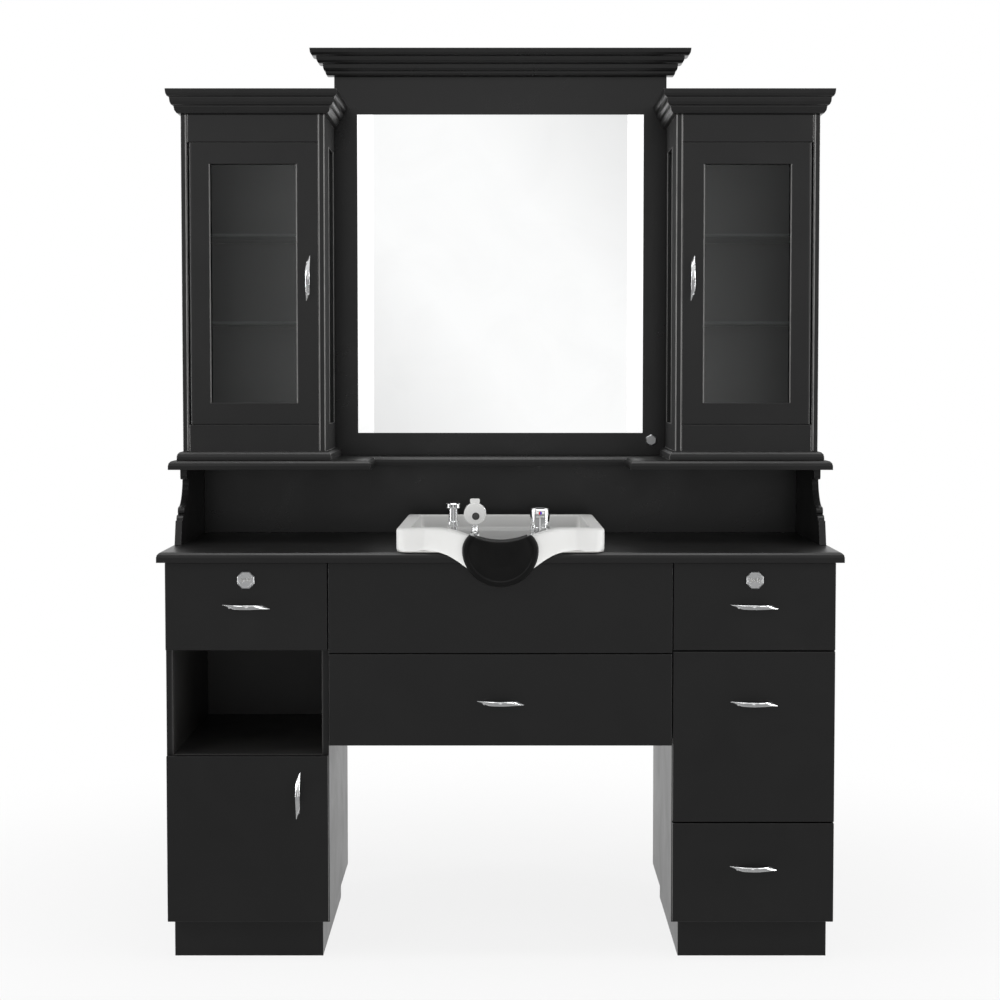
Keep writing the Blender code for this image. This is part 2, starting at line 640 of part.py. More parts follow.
TOP_FRONT = (TOP_SEAM + REVEAL, FRONTS_TOP - REVEAL)
left_front_x, left_bay_x = side_fronts(LEFT)
right_front_x, right_bay_x = side_fronts(RIGHT)
left_drawer = drawer('left_drawer', left_front_x, TOP_FRONT, left_bay_x, TOP_BAY, BOX_DEPTH, TOP_HANDLE_DROP)
right_drawer = drawer('right_top_drawer', right_front_x, TOP_FRONT, right_bay_x, TOP_BAY, BOX_DEPTH,
                      TOP_HANDLE_DROP)
lock(left_drawer, 'left_lock', LEFT)
lock(right_drawer, 'right_lock', RIGHT)
drawer('right_middle_drawer', right_front_x, (MIDDLE_SEAM + REVEAL, TOP_SEAM - REVEAL), right_bay_x,
       MIDDLE_BAY, BOX_DEPTH, MIDDLE_HANDLE_DROP)
drawer('right_low_drawer', right_front_x, (FRONTS_BOTTOM, MIDDLE_SEAM - REVEAL), right_bay_x, LOW_BAY,
       BOX_DEPTH, LOW_HANDLE_DROP)


# Centre frame: the fixed apron under the bowl, two side boards with runners, and a back rail

FRAME_OUT = PEDESTAL_IN - GAP
FRAME_IN = FRAME_OUT - PANEL
FRAME_BACK = BACK - PANEL
FRAME_DROP = 0.014           # side boards end this far above the drawer front's lower edge
BACK_RAIL = 0.080
SEAM_RAIL = 0.060             # rail behind the seam under the apron
CENTRE_BAY = (CENTRE_BOTTOM + FRAME_DROP, APRON_SEAM)

centre_frame = add_object('centre_frame', box(-PEDESTAL_IN + REVEAL, PEDESTAL_IN - REVEAL, FACE, FACE_BACK,
                                              APRON_SEAM + REVEAL, FRONTS_TOP - REVEAL), BLACK_PAINT)
for side in (LEFT, RIGHT):
    x0, x1 = mirrored(side, FRAME_IN, FRAME_OUT)
    board = box(x0, x1, CARCASS_FRONT, FRAME_BACK, CENTRE_BAY[0], CARCASS_Z1)
    tongue = box(x0 + 0.001, x1 - 0.001, FACE_BACK - 0.004, CARCASS_FRONT + 0.004, APRON_SEAM + PANEL,
                 CARCASS_Z1 - PANEL)
    frame_runner = runner(side * FRAME_IN, -side, box_bottom(CENTRE_BAY) - GAP,
                          CARCASS_FRONT + CENTRE_BOX_DEPTH)
    fuse(centre_frame, tongue, board, frame_runner)
fuse(centre_frame, box(-FRAME_IN - 0.002, FRAME_IN + 0.002, FRAME_BACK - PANEL, FRAME_BACK - 0.001,
                       CARCASS_Z1 - BACK_RAIL, CARCASS_Z1 - 0.002),
     box(-FRAME_IN - 0.002, FRAME_IN + 0.002, CARCASS_FRONT + 0.0005, CARCASS_FRONT + PANEL,
         APRON_SEAM - SEAM_RAIL / 2, APRON_SEAM + SEAM_RAIL / 2))
drawer('centre_drawer', (-PEDESTAL_IN + REVEAL, PEDESTAL_IN - REVEAL), (CENTRE_BOTTOM, APRON_SEAM - REVEAL),
       (-FRAME_IN, FRAME_IN), CENTRE_BAY, CENTRE_BOX_DEPTH, CENTRE_HANDLE_DROP)


# Bowl: rings of rounded rectangles, run down the outside, up through the drain and over the rim

CORNER_STEPS = 4
FRONT_POINTS = 25            # points along a ring's front between its corners
LIP_COLUMNS = 24
BASIN_FRONT = BOWL_FRONT + BOWL_WALL + BOWL_DECK_DEPTH
BASIN_INSET = 0.026          # basin's edge in from the foot of the wall


def bell(x):
    """Shape of the dip in the front rim: 1 in the middle, 0 at the dip's ends."""
    share = min(1.0, abs(x) / NECK_HALF)
    return 0.5 + 0.5 * math.cos(math.pi * share ** 1.1)


def rim_height(x):
    """Height of the front rim along the dip."""
    return RIM_Z - NECK_DIP * bell(x) ** RIM_EASE


def lip_swell(x):
    """Shape of the lip in plan: 1 in the middle, 0 at its ends."""
    share = min(1.0, abs(x) / LIP_HALF)
    return 0.5 + 0.5 * math.cos(math.pi * share ** 1.1)


def lip_front(x):
    """How far forward the lip's face stands at x."""
    start = BOWL_FRONT + 0.002
    return start - (start - FRONT + LIP_REACH) * lip_swell(x)


def bowl_ring(half, back_half, y0, y1, radius, z, front_z=None):
    """A rounded rectangle in plan; front_z, if given, maps a front point's x to its height."""
    ring = []
    corners = ((-half + radius, y0 + radius, 180), (half - radius, y0 + radius, 270),
               (back_half - radius, y1 - radius, 0), (-back_half + radius, y1 - radius, 90))
    for number, (cx, cy, start) in enumerate(corners):
        ring += [(x, y, z) for x, y in arc(cx, cy, radius, start, start + 90, CORNER_STEPS)]
        if number == 0:
            for k in range(1, FRONT_POINTS + 1):
                x = (half - radius) * (2 * k / (FRONT_POINTS + 1) - 1)
                ring.append((x, y0, front_z(x) if front_z else z))
    return ring


def wall_ring(inset, z, radius):
    """A ring of the bowl's upper wall, squeezed towards the deck along the neck dip."""
    def dipped(x):
        share = bell(x) ** RIM_EASE * NECK_DIP / (RIM_Z - DECK_Z)
        return DECK_Z + (z - DECK_Z) * (1 - share)
    return bowl_ring(BOWL_WIDTH / 2 - inset, BOWL_BACK_WIDTH / 2 - inset, BOWL_FRONT + inset,
                     BOWL_BACK - inset, radius, z, dipped if z > DECK_Z else None)


def basin_ring(inset, z, radius):
    """A ring of the basin below the deck."""
    half = BOWL_WIDTH / 2 - BOWL_WALL - inset
    back_half = BOWL_BACK_WIDTH / 2 - BOWL_WALL - inset
    front = BASIN_FRONT - BASIN_INSET + inset
    return bowl_ring(half, back_half, front, BOWL_BACK - BOWL_WALL - inset, radius, z)


def drain_ring(radius, z):
    """A round ring about the drain, with its points in step with a bowl ring's."""
    spans = ((190, 225, CORNER_STEPS), (225, 315, FRONT_POINTS + 1), (315, 350, CORNER_STEPS),
             (10, 80, CORNER_STEPS), (100, 170, CORNER_STEPS))
    ring = []
    for number, (start, end, steps) in enumerate(spans):
        points = arc(0.0, DRAIN_Y, radius, start, end, steps)
        ring += points[1:-1] if number == 1 else points
    return [(x, y, z) for x, y in ring]


SEAT_Z = COUNTER_TOP + GAP
BASIN_SEAT = 0.020           # basin's inset where it passes the counter
BASIN_SEAT_CORNER = 0.060
CUTOUT_ROOM = 0.003          # between the basin and the edge of the counter's cut-out
bowl_rings = [
    wall_ring(0.000, SEAT_Z + 0.008, BOWL_CORNER),
    wall_ring(0.000, RIM_Z - 0.007, BOWL_CORNER),
    wall_ring(0.002, RIM_Z - 0.002, BOWL_CORNER),
    wall_ring(0.007, RIM_Z, BOWL_CORNER),
    wall_ring(BOWL_WALL - 0.007, RIM_Z, BOWL_CORNER),
    wall_ring(BOWL_WALL - 0.002, RIM_Z - 0.002, BOWL_CORNER),
    wall_ring(BOWL_WALL, RIM_Z - 0.007, BOWL_CORNER),
    wall_ring(BOWL_WALL + 0.004, DECK_Z + 0.005, BOWL_CORNER),
    wall_ring(BOWL_WALL + BOWL_FILLET, DECK_Z, BOWL_CORNER),
    basin_ring(BASIN_INSET, DECK_Z, 0.050),
    basin_ring(0.032, DECK_Z - 0.006, 0.052),
    basin_ring(0.046, DECK_Z - 0.070, 0.060),
    basin_ring(0.070, DECK_Z - 0.118, 0.070),
    basin_ring(0.105, DECK_Z - 0.134, 0.060),
    drain_ring(0.044, BASIN_Z),
    drain_ring(DRAIN_RADIUS, BASIN_Z),
    drain_ring(DRAIN_RADIUS, BASIN_Z - BASIN_SKIN),
    drain_ring(0.048, BASIN_Z - BASIN_SKIN),
    basin_ring(0.098, DECK_Z - 0.134 - BASIN_SKIN, 0.066),
    basin_ring(0.060, DECK_Z - 0.124, 0.078),
    basin_ring(0.036, DECK_Z - 0.072, 0.068),
    basin_ring(BASIN_SEAT, SEAT_Z, BASIN_SEAT_CORNER),
    wall_ring(0.006, SEAT_Z, BOWL_CORNER - 0.004),
]
shampoo_bowl = add_object('shampoo_bowl', grid_loft(bowl_rings, loop=True), CERAMIC)


def lip_section(x):
    """Cross-section of the lip at x: a rounded tongue from the front wall forward and down."""
    top = rim_height(x) - 0.0015
    bottom = SEAT_Z + 0.004 - (LIP_DROP + 0.004) * lip_swell(x) ** LIP_FALL
    face = lip_front(x)
    root = BOWL_FRONT + BOWL_WALL / 2
    return [(x, root, top), (x, face + 0.010, top), (x, face + 0.003, top - 0.003), (x, face, top - 0.010),
            (x, face + 0.001, bottom + 0.012), (x, face + 0.004, bottom + 0.003), (x, face + 0.010, bottom),
            (x, root, bottom)]


lip_x = [LIP_HALF * (2 * k / LIP_COLUMNS - 1) * 0.985 for k in range(LIP_COLUMNS + 1)]
lip = add_object('lip', grid_loft([lip_section(x) for x in lip_x]), CERAMIC)
cut(lip, box(-COUNTER_WIDTH / 2, COUNTER_WIDTH / 2, FRONT - 0.0015, BACK, 0.0, SEAT_Z + 0.0002))
lip_mesh = bmesh.new()
lip_mesh.from_mesh(lip.data)
bpy.data.objects.remove(lip, do_unlink=True)
smooth(fuse(shampoo_bowl, lip_mesh), 50.0)


# Neck rest: a rubber pad hooked over the lip, with horns at the sides and a raised border

REST_COLUMNS = 20
SADDLE_COLUMNS = 12


def rest_side(x):
    """Height of the pad's elliptical side: 1 in the middle, 0 at its widest line."""
    share = min(1.0, abs(x) / REST_HALF)
    return math.sqrt(1 - share * share)


def rest_top(x):
    """Upper outline of the pad: a saddle between two horns, then round to the widest line."""
    if abs(x) <= REST_TIP_HALF:
        rise = REST_SADDLE_RISE + (REST_TIP_RISE - REST_SADDLE_RISE) * (x / REST_TIP_HALF) ** 2
    else:
        rise = REST_WAIST_RISE + (REST_TIP_RISE - REST_WAIST_RISE) * rest_side(x) / rest_side(REST_TIP_HALF)
    return COUNTER_TOP + rise


def rest_bottom(x):
    """Lower outline of the pad: half an ellipse."""
    return COUNTER_TOP + REST_WAIST_RISE - (REST_DROP + REST_WAIST_RISE) * rest_side(x)


def rest_thickness(x, t):
    """Thin at the outline, thickest along the border, dished in the middle."""
    edge = min(2 * t, 2 * (1 - t), 1.3 * (1 - abs(x) / REST_HALF))
    if edge < 0.15:
        return REST_THICK * (0.4 + 0.6 * edge / 0.15)
    return REST_THICK - REST_DISH * min(1.0, (edge - 0.15) / 0.22)


def rest_section(x):
    """One upright slice of the pad."""
    low = rest_bottom(x)
    high = rest_top(x)
    seat = lip_front(x) - REST_SEAT
    shares = [0.0, 0.04, 0.075, 0.14, 0.19] + [0.5] + [0.81, 0.86, 0.925, 0.96, 1.0]
    face = [(x, seat - rest_thickness(x, t), low + (high - low) * t) for t in shares]
    return face + [(x, seat, high), (x, seat, low)]


rest_x = [REST_HALF * 0.996 * math.sin(math.pi * (k / REST_COLUMNS - 0.5)) for k in range(REST_COLUMNS + 1)]
neck_rest = add_object('neck_rest', grid_loft([rest_section(x) for x in rest_x]), RUBBER)


def saddle_section(x):
    """One slice of the strip that lies over the rim behind the pad."""
    under = rim_height(x) + REST_SEAT
    over = rest_top(x)
    y0 = lip_front(x) - REST_SEAT - REST_THICK * 0.2
    y1 = BOWL_FRONT + BOWL_WALL
    return [(x, y0, over - 0.0005), (x, y0, under), (x, y1, under), (x, y1, under + 0.003),
            (x, y1 - 0.008, over - 0.001)]


saddle_x = [REST_SADDLE_HALF * (2 * k / SADDLE_COLUMNS - 1) for k in range(SADDLE_COLUMNS + 1)]
smooth(fuse(neck_rest, grid_loft([saddle_section(x) for x in saddle_x])), 50.0)


# Waste: strainer, nut, tailpiece, trap and arm to the wall, swept as one pipe

def pipe(stations, sides=12):
    """Sweep circles along points in the plane X = 0; each station is (y, z, dy, dz, radius)."""
    rings = []
    for y, z, dy, dz, radius in stations:
        ring = []
        for k in range(sides):
            angle = math.tau * (k + 0.5) / sides
            out = radius * math.sin(angle)
            ring.append((radius * math.cos(angle), y - dz * out, z + dy * out))
        rings.append(ring)
    return grid_loft(rings)


def bend(cy, cz, radius, start, end, steps, turn):
    """Stations round a bend; turn is +1 or -1 for the way it curves."""
    stations = []
    for k in range(steps + 1):
        angle = math.radians(start + (end - start) * k / steps)
        y = cy + radius * math.cos(angle)
        z = cz + radius * math.sin(angle)
        stations.append((y, z, -turn * math.sin(angle), turn * math.cos(angle), PIPE_RADIUS))
    return stations


waste_top = BASIN_Z + GAP + STRAINER_THICK
bowl_under = BASIN_Z - BASIN_SKIN
body_radius = DRAIN_RADIUS * 0.97 - RUN
nut_top = bowl_under - GAP
tail_end = bowl_under - TRAP_DROP
rise_y = DRAIN_Y + 2 * TRAP_BEND
arm_z = tail_end + TRAP_LIFT + ARM_BEND
down = (0.0, -1.0)
waste_stations = [
    (DRAIN_Y, waste_top, *down, STRAINER_RADIUS * 0.9),
    (DRAIN_Y, waste_top - STRAINER_THICK / 2, *down, STRAINER_RADIUS),
    (DRAIN_Y, BASIN_Z + GAP, *down, STRAINER_RADIUS),
    (DRAIN_Y, BASIN_Z + GAP, *down, body_radius),
    (DRAIN_Y, nut_top, *down, body_radius),
    (DRAIN_Y, nut_top, *down, NUT_RADIUS),
    (DRAIN_Y, nut_top - NUT_HEIGHT, *down, NUT_RADIUS),
    (DRAIN_Y, nut_top - 2 * NUT_HEIGHT, *down, PIPE_RADIUS),
]
waste_stations += bend(DRAIN_Y + TRAP_BEND, tail_end, TRAP_BEND, 180, 360, 8, 1)
waste_stations += bend(rise_y + ARM_BEND, tail_end + TRAP_LIFT, ARM_BEND, 180, 90, 4, -1)
waste_stations += [
    (BACK - 0.012, arm_z, 1.0, 0.0, PIPE_RADIUS),
    (BACK - 0.012, arm_z, 1.0, 0.0, NUT_RADIUS),
    (BACK - 0.004, arm_z, 1.0, 0.0, NUT_RADIUS),
]
smooth(add_object('bowl_waste', pipe(waste_stations), PIPE_PLASTIC))


# Counter: rounded over at the front and both ends, cut out for the basin

counter_plan = ((-END, FRONT), (END, FRONT), (END, BACK), (-END, BACK))
counter_slab = nosed_slab(counter_plan, (1, 1, 0, 1), COUNTER_Z0, COUNTER_TOP, COUNTER_NOSE)
countertop = add_object('countertop', counter_slab, BLACK_PAINT)
cut(countertop, grid_loft([basin_ring(BASIN_SEAT - CUTOUT_ROOM, z, BASIN_SEAT_CORNER)
                           for z in (COUNTER_Z0 - PANEL, COUNTER_TOP + PANEL)]))
smooth(countertop, 35.0)


# Hutch: back riser, two ogee side brackets and the stepped shelf they carry

bracket_in = BRACKET_OUT - BRACKET_THICK
add_object('riser_back', box(-bracket_in + GAP, bracket_in - GAP, BACK - RISER_THICK, BACK, HUTCH_Z0,
                             HUTCH_Z0 + HUTCH_RISE), BLACK_PAINT)


def bracket_outline():
    """Side view of a bracket as (y, z): foot, bead, long cove, waist bead and nose, then the back."""
    foot = BACK - BRACKET_FOOT
    base = HUTCH_Z0
    points = [(foot, base), (foot + 0.020, base + 0.058)]
    points += arc(foot + 0.046, base + 0.058, 0.012, 180, 90, 3)
    points += arc(foot + 0.068, base + 0.078, 0.010, 225, 100, 4)
    points += arc(foot + 0.062, base + 0.168, 0.082, 290, 350, 6)
    points += [(foot + 0.146, base + 0.158)]
    points += arc(foot + 0.114, base + 0.163, 0.009, 300, 180, 4)
    points += [(foot + 0.105, base + HUTCH_RISE), (BACK, base + HUTCH_RISE), (BACK, base)]
    return points


for side, name in ((LEFT, 'left_bracket'), (RIGHT, 'right_bracket')):
    x0, x1 = mirrored(side, bracket_in, BRACKET_OUT)
    smooth(add_object(name, prism(bracket_outline(), lambda u, v, w: (w, u, v), x0, x1), BLACK_PAINT), 35.0)

wing_in = SHELF_END - SHELF_WING
shelf_front = CASE_FRONT - SHELF_NOSE
ledge_front = BACK - SHELF_LEDGE
shelf_plan = ((-SHELF_END, shelf_front), (-wing_in, shelf_front), (-wing_in, ledge_front),
              (wing_in, ledge_front), (wing_in, shelf_front), (SHELF_END, shelf_front),
              (SHELF_END, BACK), (-SHELF_END, BACK))
shelf_slab = nosed_slab(shelf_plan, (1, 1, 1, 1, 1, 1, 0, 1), SHELF_Z0, SHELF_TOP, SHELF_EDGE)
smooth(add_object('hutch_shelf', shelf_slab, BLACK_PAINT), 35.0)


# Display cases: inset glazed door on pivots, window in the inner side, two glass shelves

CASE_INSIDE = (CASE_IN + CASE_BOARD, CASE_OUT - CASE_BOARD)
CASE_ROOM_FRONT = CASE_FRONT + CASE_DOOR_THICK + 0.002
CASE_ROOM_BACK = BACK - BACK_PANEL
WINDOW_Y = (CASE_FRONT + SIDE_WINDOW_SETBACK, CASE_FRONT + SIDE_WINDOW_SETBACK + SIDE_WINDOW_WIDTH)
DOOR_X = (CASE_INSIDE[0] + CASE_DOOR_REVEAL, CASE_INSIDE[1] - CASE_DOOR_REVEAL)
DOOR_Z = (DOOR_Z0 + CASE_DOOR_REVEAL, DOOR_Z1 - CASE_DOOR_REVEAL)
PIVOT_X = DOOR_X[1] - CASE_DOOR_THICK / 2
PIVOT_Y = CASE_FRONT + CASE_DOOR_THICK / 2
SHELF_HEIGHTS = (('lower', DOOR_Z0 + CASE_SHELF_LOW), ('upper', DOOR_Z0 + CASE_SHELF_HIGH))
SHELF_Y = (CASE_ROOM_FRONT + CASE_SHELF_SETBACK, CASE_ROOM_BACK - GAP)
PANE_IN = CASE_INSIDE[0] + GAP + GLASS_THICK


def case_plan(reach):
    """Plan of a moulding round the right-hand case; its inner return stops at the mirror board."""
    inner_end = BOARD_FRONT - GAP
    front = CASE_FRONT - reach
    return [(CASE_IN, BACK), (CASE_IN, inner_end), (CASE_IN - reach, inner_end), (CASE_IN - reach, front),
            (CASE_OUT + reach, front), (CASE_OUT + reach, BACK)]


def case_body(side, name):
    """Box of one case, standing on its rounded base moulding."""
    x0, x1 = mirrored(side, CASE_IN, CASE_OUT)
    made = add_object(name, box(x0, x1, CASE_FRONT, BACK, CASE_Z0 + CASE_MOULDING / 2, CASE_Z1), BLACK_PAINT)
    plan = case_plan(CASE_MOULDING_REACH)
    nosed = [0, 0, 1, 1, 1, 0]
    if side == LEFT:
        plan = [(-x, y) for x, y in reversed(plan)]
        nosed = [1, 1, 1, 0, 0, 0]
    fuse(made, nosed_slab(plan, nosed, CASE_Z0, CASE_Z0 + CASE_MOULDING, CASE_MOULDING_ROUND))
    x0, x1 = mirrored(side, *CASE_INSIDE)
    cut(made, box(x0, x1, CASE_FRONT - PANEL, CASE_ROOM_FRONT + 0.001, DOOR_Z0, DOOR_Z1),
        box(x0, x1, CASE_ROOM_FRONT, CASE_ROOM_BACK, CASE_Z0 + CASE_FLOOR, CASE_Z1 - CASE_BOARD))
    x0, x1 = mirrored(side, CASE_IN - PANEL, CASE_INSIDE[0] + 0.001)
    cut(made, box(x0, x1, *WINDOW_Y, DOOR_Z0, DOOR_Z1))
    for edge in (CASE_INSIDE[0], DOOR_X[1]):
        x0, x1 = mirrored(side, edge, edge + CASE_DOOR_REVEAL)
        cut(made, box(x0, x1, CASE_FRONT - PANEL, CASE_FRONT + POST_GROOVE, CASE_Z0 + CASE_MOULDING,
                      CASE_Z1 + PANEL))
    bore = bore_radius(PIVOT_RADIUS)
    for z in (DOOR_Z0, DOOR_Z1):
        cut(made, rod(bore, -PIVOT_LENGTH - RUN, PIVOT_LENGTH + RUN, (side * PIVOT_X, PIVOT_Y, z)))
    for _, height in SHELF_HEIGHTS:
        z = height - SHELF_PIN_RADIUS - GAP
        for y in (SHELF_Y[0] + SHELF_PIN_INSET, SHELF_Y[1] - SHELF_PIN_INSET):
            for wall, inward in ((CASE_INSIDE[0], 1), (CASE_INSIDE[1], -1)):
                start = side * (wall - 0.002 * inward)
                end = side * (wall + SHELF_PIN_REACH * inward)
                low, high = sorted((start, end))
                fuse(made, rod(SHELF_PIN_RADIUS, low, high, (0.0, y, z), 'X', 8))
    return made


def case_door(side, name):
    """Inset door: framed pane, rounded heel about its pivots, and pivot pins top and bottom."""
    pivot = (side * PIVOT_X, PIVOT_Y, (DOOR_Z[0] + DOOR_Z[1]) / 2)
    back = CASE_FRONT + CASE_DOOR_THICK
    heel = arc(PIVOT_X, PIVOT_Y, CASE_DOOR_THICK / 2, -90, 90, 8)
    plan = [(DOOR_X[0], CASE_FRONT)] + heel + [(DOOR_X[0], back)]
    plan = [(side * x, y) for x, y in plan]
    made = add_object(name + '_frame', prism(plan, lambda u, v, w: (u, v, w), *DOOR_Z), BLACK_PAINT, pivot)
    x0, x1 = mirrored(side, DOOR_X[0] + CASE_DOOR_STILE, DOOR_X[1] - CASE_DOOR_STILE)
    z0 = DOOR_Z[0] + CASE_DOOR_STILE
    z1 = DOOR_Z[1] - CASE_DOOR_STILE
    rebate = GLASS_REBATE
    shoulder = back - GLASS_THICK - 2 * GAP
    cut(made, box(x0, x1, CASE_FRONT - PANEL, back + PANEL, z0, z1),
        box(x0 - rebate, x1 + rebate, shoulder, back + PANEL, z0 - rebate, z1 + rebate))
    for end, sign in ((DOOR_Z[0], -1), (DOOR_Z[1], 1)):
        low, high = sorted((end - sign * 0.004, end + sign * (PIVOT_LENGTH - CASE_DOOR_REVEAL)))
        fuse(made, rod(PIVOT_RADIUS, low, high, (side * PIVOT_X, PIVOT_Y, 0.0)))
    smooth(made, 35.0)
    play = rebate - GAP
    add_object(name + '_glass', box(x0 - play, x1 + play, shoulder + GAP, shoulder + GAP + GLASS_THICK,
                                    z0 - play, z1 + play), CLEAR_GLASS, pivot)
    handle(name + '_handle', side * (DOOR_X[0] + CASE_HANDLE_INSET), CASE_FRONT, DOOR_Z[0] + CASE_HANDLE_RISE,
           upright=True)


def case_glass(side, word):
    """Window pane inside the inner wall, and two shelves on pins."""
    x0, x1 = mirrored(side, CASE_INSIDE[0] + GAP, PANE_IN)
    add_object(word + '_side_glass', box(x0, x1, WINDOW_Y[0] - GLASS_REBATE, WINDOW_Y[1] + GLASS_REBATE,
                                         DOOR_Z0 - GLASS_REBATE, DOOR_Z1 + GLASS_REBATE), CLEAR_GLASS)
    x0, x1 = mirrored(side, PANE_IN + GAP, CASE_INSIDE[1] - GAP)
    for level, height in SHELF_HEIGHTS:
        pane = box(x0, x1, *SHELF_Y, height, height + CASE_SHELF_THICK)
        add_object(word + '_shelf_' + level, pane, CLEAR_GLASS)


for side, word in ((LEFT, 'left'), (RIGHT, 'right')):
    case_body(side, word + '_case')
    case_door(side, word + '_door')
    case_glass(side, word)


# Cornices: stacked quarter rounds that step outwards to a flat cap

def cornice_profile(steps):
    """(reach, rise) points up the moulding."""
    points = []
    rise = 0.0
    for start, reach, height in steps:
        round_height = height - CORNICE_FLAT
        for k in range(CORNICE_ARC + 1):
            angle = math.radians(90.0 * k / CORNICE_ARC)
            points.append((start + (reach - start) * math.sin(angle),
                           rise + round_height * (1 - math.cos(angle))))
        rise += height
        points.append((reach, rise))
    return points


def case_cornice(side, name):
    """Cornice on one case; its inner return stops at the mirror board."""
    rings = []
    for reach, rise in cornice_profile(CASE_CORNICE_STEPS):
        rings.append([(side * x, y, CASE_Z1 + GAP + rise) for x, y in case_plan(reach)])
    smooth(add_object(name, grid_loft(rings), BLACK_PAINT), 35.0)


case_cornice(LEFT, 'left_cornice')
case_cornice(RIGHT, 'right_cornice')
centre_rings = []
for reach, rise in cornice_profile(CENTRE_CORNICE_STEPS):
    plan = [(-BOARD_HALF - reach, BOARD_FRONT - reach), (BOARD_HALF + reach, BOARD_FRONT - reach),
            (BOARD_HALF + reach, BACK), (-BOARD_HALF - reach, BACK)]
    centre_rings.append([(x, y, BOARD_Z1 + GAP + rise) for x, y in plan])
smooth(add_object('centre_cornice', grid_loft(centre_rings), BLACK_PAINT), 35.0)


# Mirror board: a back board with a pocket for the mirror and a light strip at each side

GLASS_FRONT = BOARD_FRONT + GAP
strip_out = MIRROR_HALF + GAP + STRIP_WIDTH
pocket_back = GLASS_FRONT + MIRROR_THICK + GAP
KNOB_Z = CASE_Z0 + KNOB_RISE
mirror_board = add_object('mirror_board', box(-BOARD_HALF, BOARD_HALF, BOARD_FRONT, BACK, CASE_Z0, BOARD_Z1),
                          BLACK_PAINT)
cut(mirror_board, box(-strip_out - GAP, strip_out + GAP, BOARD_FRONT - PANEL, pocket_back, MIRROR_Z[0] - GAP,
                      MIRROR_Z[1] + GAP),
    rod(bore_radius(KNOB_STEM), -PANEL, KNOB_STEM_LENGTH + RUN, (KNOB_X, BOARD_FRONT, KNOB_Z), 'Y'))
add_object('mirror_glass', box(-MIRROR_HALF, MIRROR_HALF, GLASS_FRONT, GLASS_FRONT + MIRROR_THICK, *MIRROR_Z),
           MIRROR)
for side, name in ((LEFT, 'left_light'), (RIGHT, 'right_light')):
    x0, x1 = mirrored(side, MIRROR_HALF + GAP, strip_out)
    add_object(name, box(x0, x1, GLASS_FRONT, GLASS_FRONT + MIRROR_THICK, *MIRROR_Z), DIFFUSER)


def lobed_ring(radius, y, depth, count=24):
    """A ring with soft lobes, in the knob's plane."""
    ring = []
    for k in range(count):
        angle = math.tau * k / count
        r = radius * (1 - depth * (0.5 - 0.5 * math.cos(KNOB_LOBES * angle)))
        ring.append((KNOB_X + r * math.sin(angle), y, KNOB_Z + r * math.cos(angle)))
    return ring


knob_face = BOARD_FRONT - GAP
knob_rings = [lobed_ring(KNOB_RADIUS * 0.78, knob_face - KNOB_LENGTH, 0.06),
              lobed_ring(KNOB_RADIUS * 0.94, knob_face - KNOB_LENGTH * 0.86, 0.12),
              lobed_ring(KNOB_RADIUS, knob_face - KNOB_LENGTH * 0.45, 0.14),
              lobed_ring(KNOB_RADIUS * 0.86, knob_face - KNOB_LENGTH * 0.15, 0.06),
              lobed_ring(KNOB_RADIUS * 0.86, knob_face, 0.0)]
knob_at = (KNOB_X, BOARD_FRONT, KNOB_Z)
light_knob = add_object('light_knob', grid_loft(knob_rings), CHROME, knob_at)
smooth(fuse(light_knob, rod(KNOB_STEM, -KNOB_LENGTH / 2, KNOB_STEM_LENGTH, knob_at, 'Y')))


# Mixer: fixed base, turret that turns for temperature, lever that lifts for flow

deck = DECK_Z + GAP
mixer_at = (MIXER_X, TAP_Y, deck)
mixer_waist = MIXER_RADIUS - 0.002
mixer_profile = ((MIXER_RADIUS + 0.0035, 0.0), (MIXER_RADIUS + 0.0035, 0.003), (MIXER_RADIUS, 0.006),
                 (MIXER_RADIUS, 0.014), (mixer_waist, 0.016), (mixer_waist, 0.019), (MIXER_RADIUS, 0.021),
                 (MIXER_RADIUS, 0.031), (mixer_waist, 0.033), (mixer_waist, 0.036), (MIXER_RADIUS, 0.038),
                 (MIXER_RADIUS, MIXER_BASE))
smooth(add_object('mixer_body', lathe(mixer_profile, mixer_at, 'Z', 24), CHROME, mixer_at))

turret_z0 = MIXER_BASE + GAP
turret_z1 = turret_z0 + MIXER_TURRET
lever_axis = (MIXER_X, TAP_Y, deck + turret_z1 - LEVER_HEIGHT / 2)
turret_profile = ((MIXER_RADIUS, turret_z0), (MIXER_RADIUS, turret_z1 - 0.005),
                  (MIXER_RADIUS - 0.0015, turret_z1 - 0.0015), (MIXER_RADIUS - 0.005, turret_z1))
mixer_turret = add_object('mixer_turret', lathe(turret_profile, mixer_at, 'Z', 24), CHROME, mixer_at)
slot_half = LEVER_WIDTH / 2 + RUN
heel_radius = LEVER_HEIGHT / 2
slot_floor = lever_axis[2] - heel_radius - RUN
pin_half = slot_half + LEVER_PIN_BITE
cut(mixer_turret, box(MIXER_X - slot_half, MIXER_X + slot_half, TAP_Y - 2 * MIXER_RADIUS,
                      TAP_Y + heel_radius + 2 * RUN, slot_floor, slot_floor + 2 * MIXER_TURRET))
cut(mixer_turret, rod(bore_radius(LEVER_PIN), -pin_half - RUN, pin_half + RUN, lever_axis, 'X'))
smooth(mixer_turret)

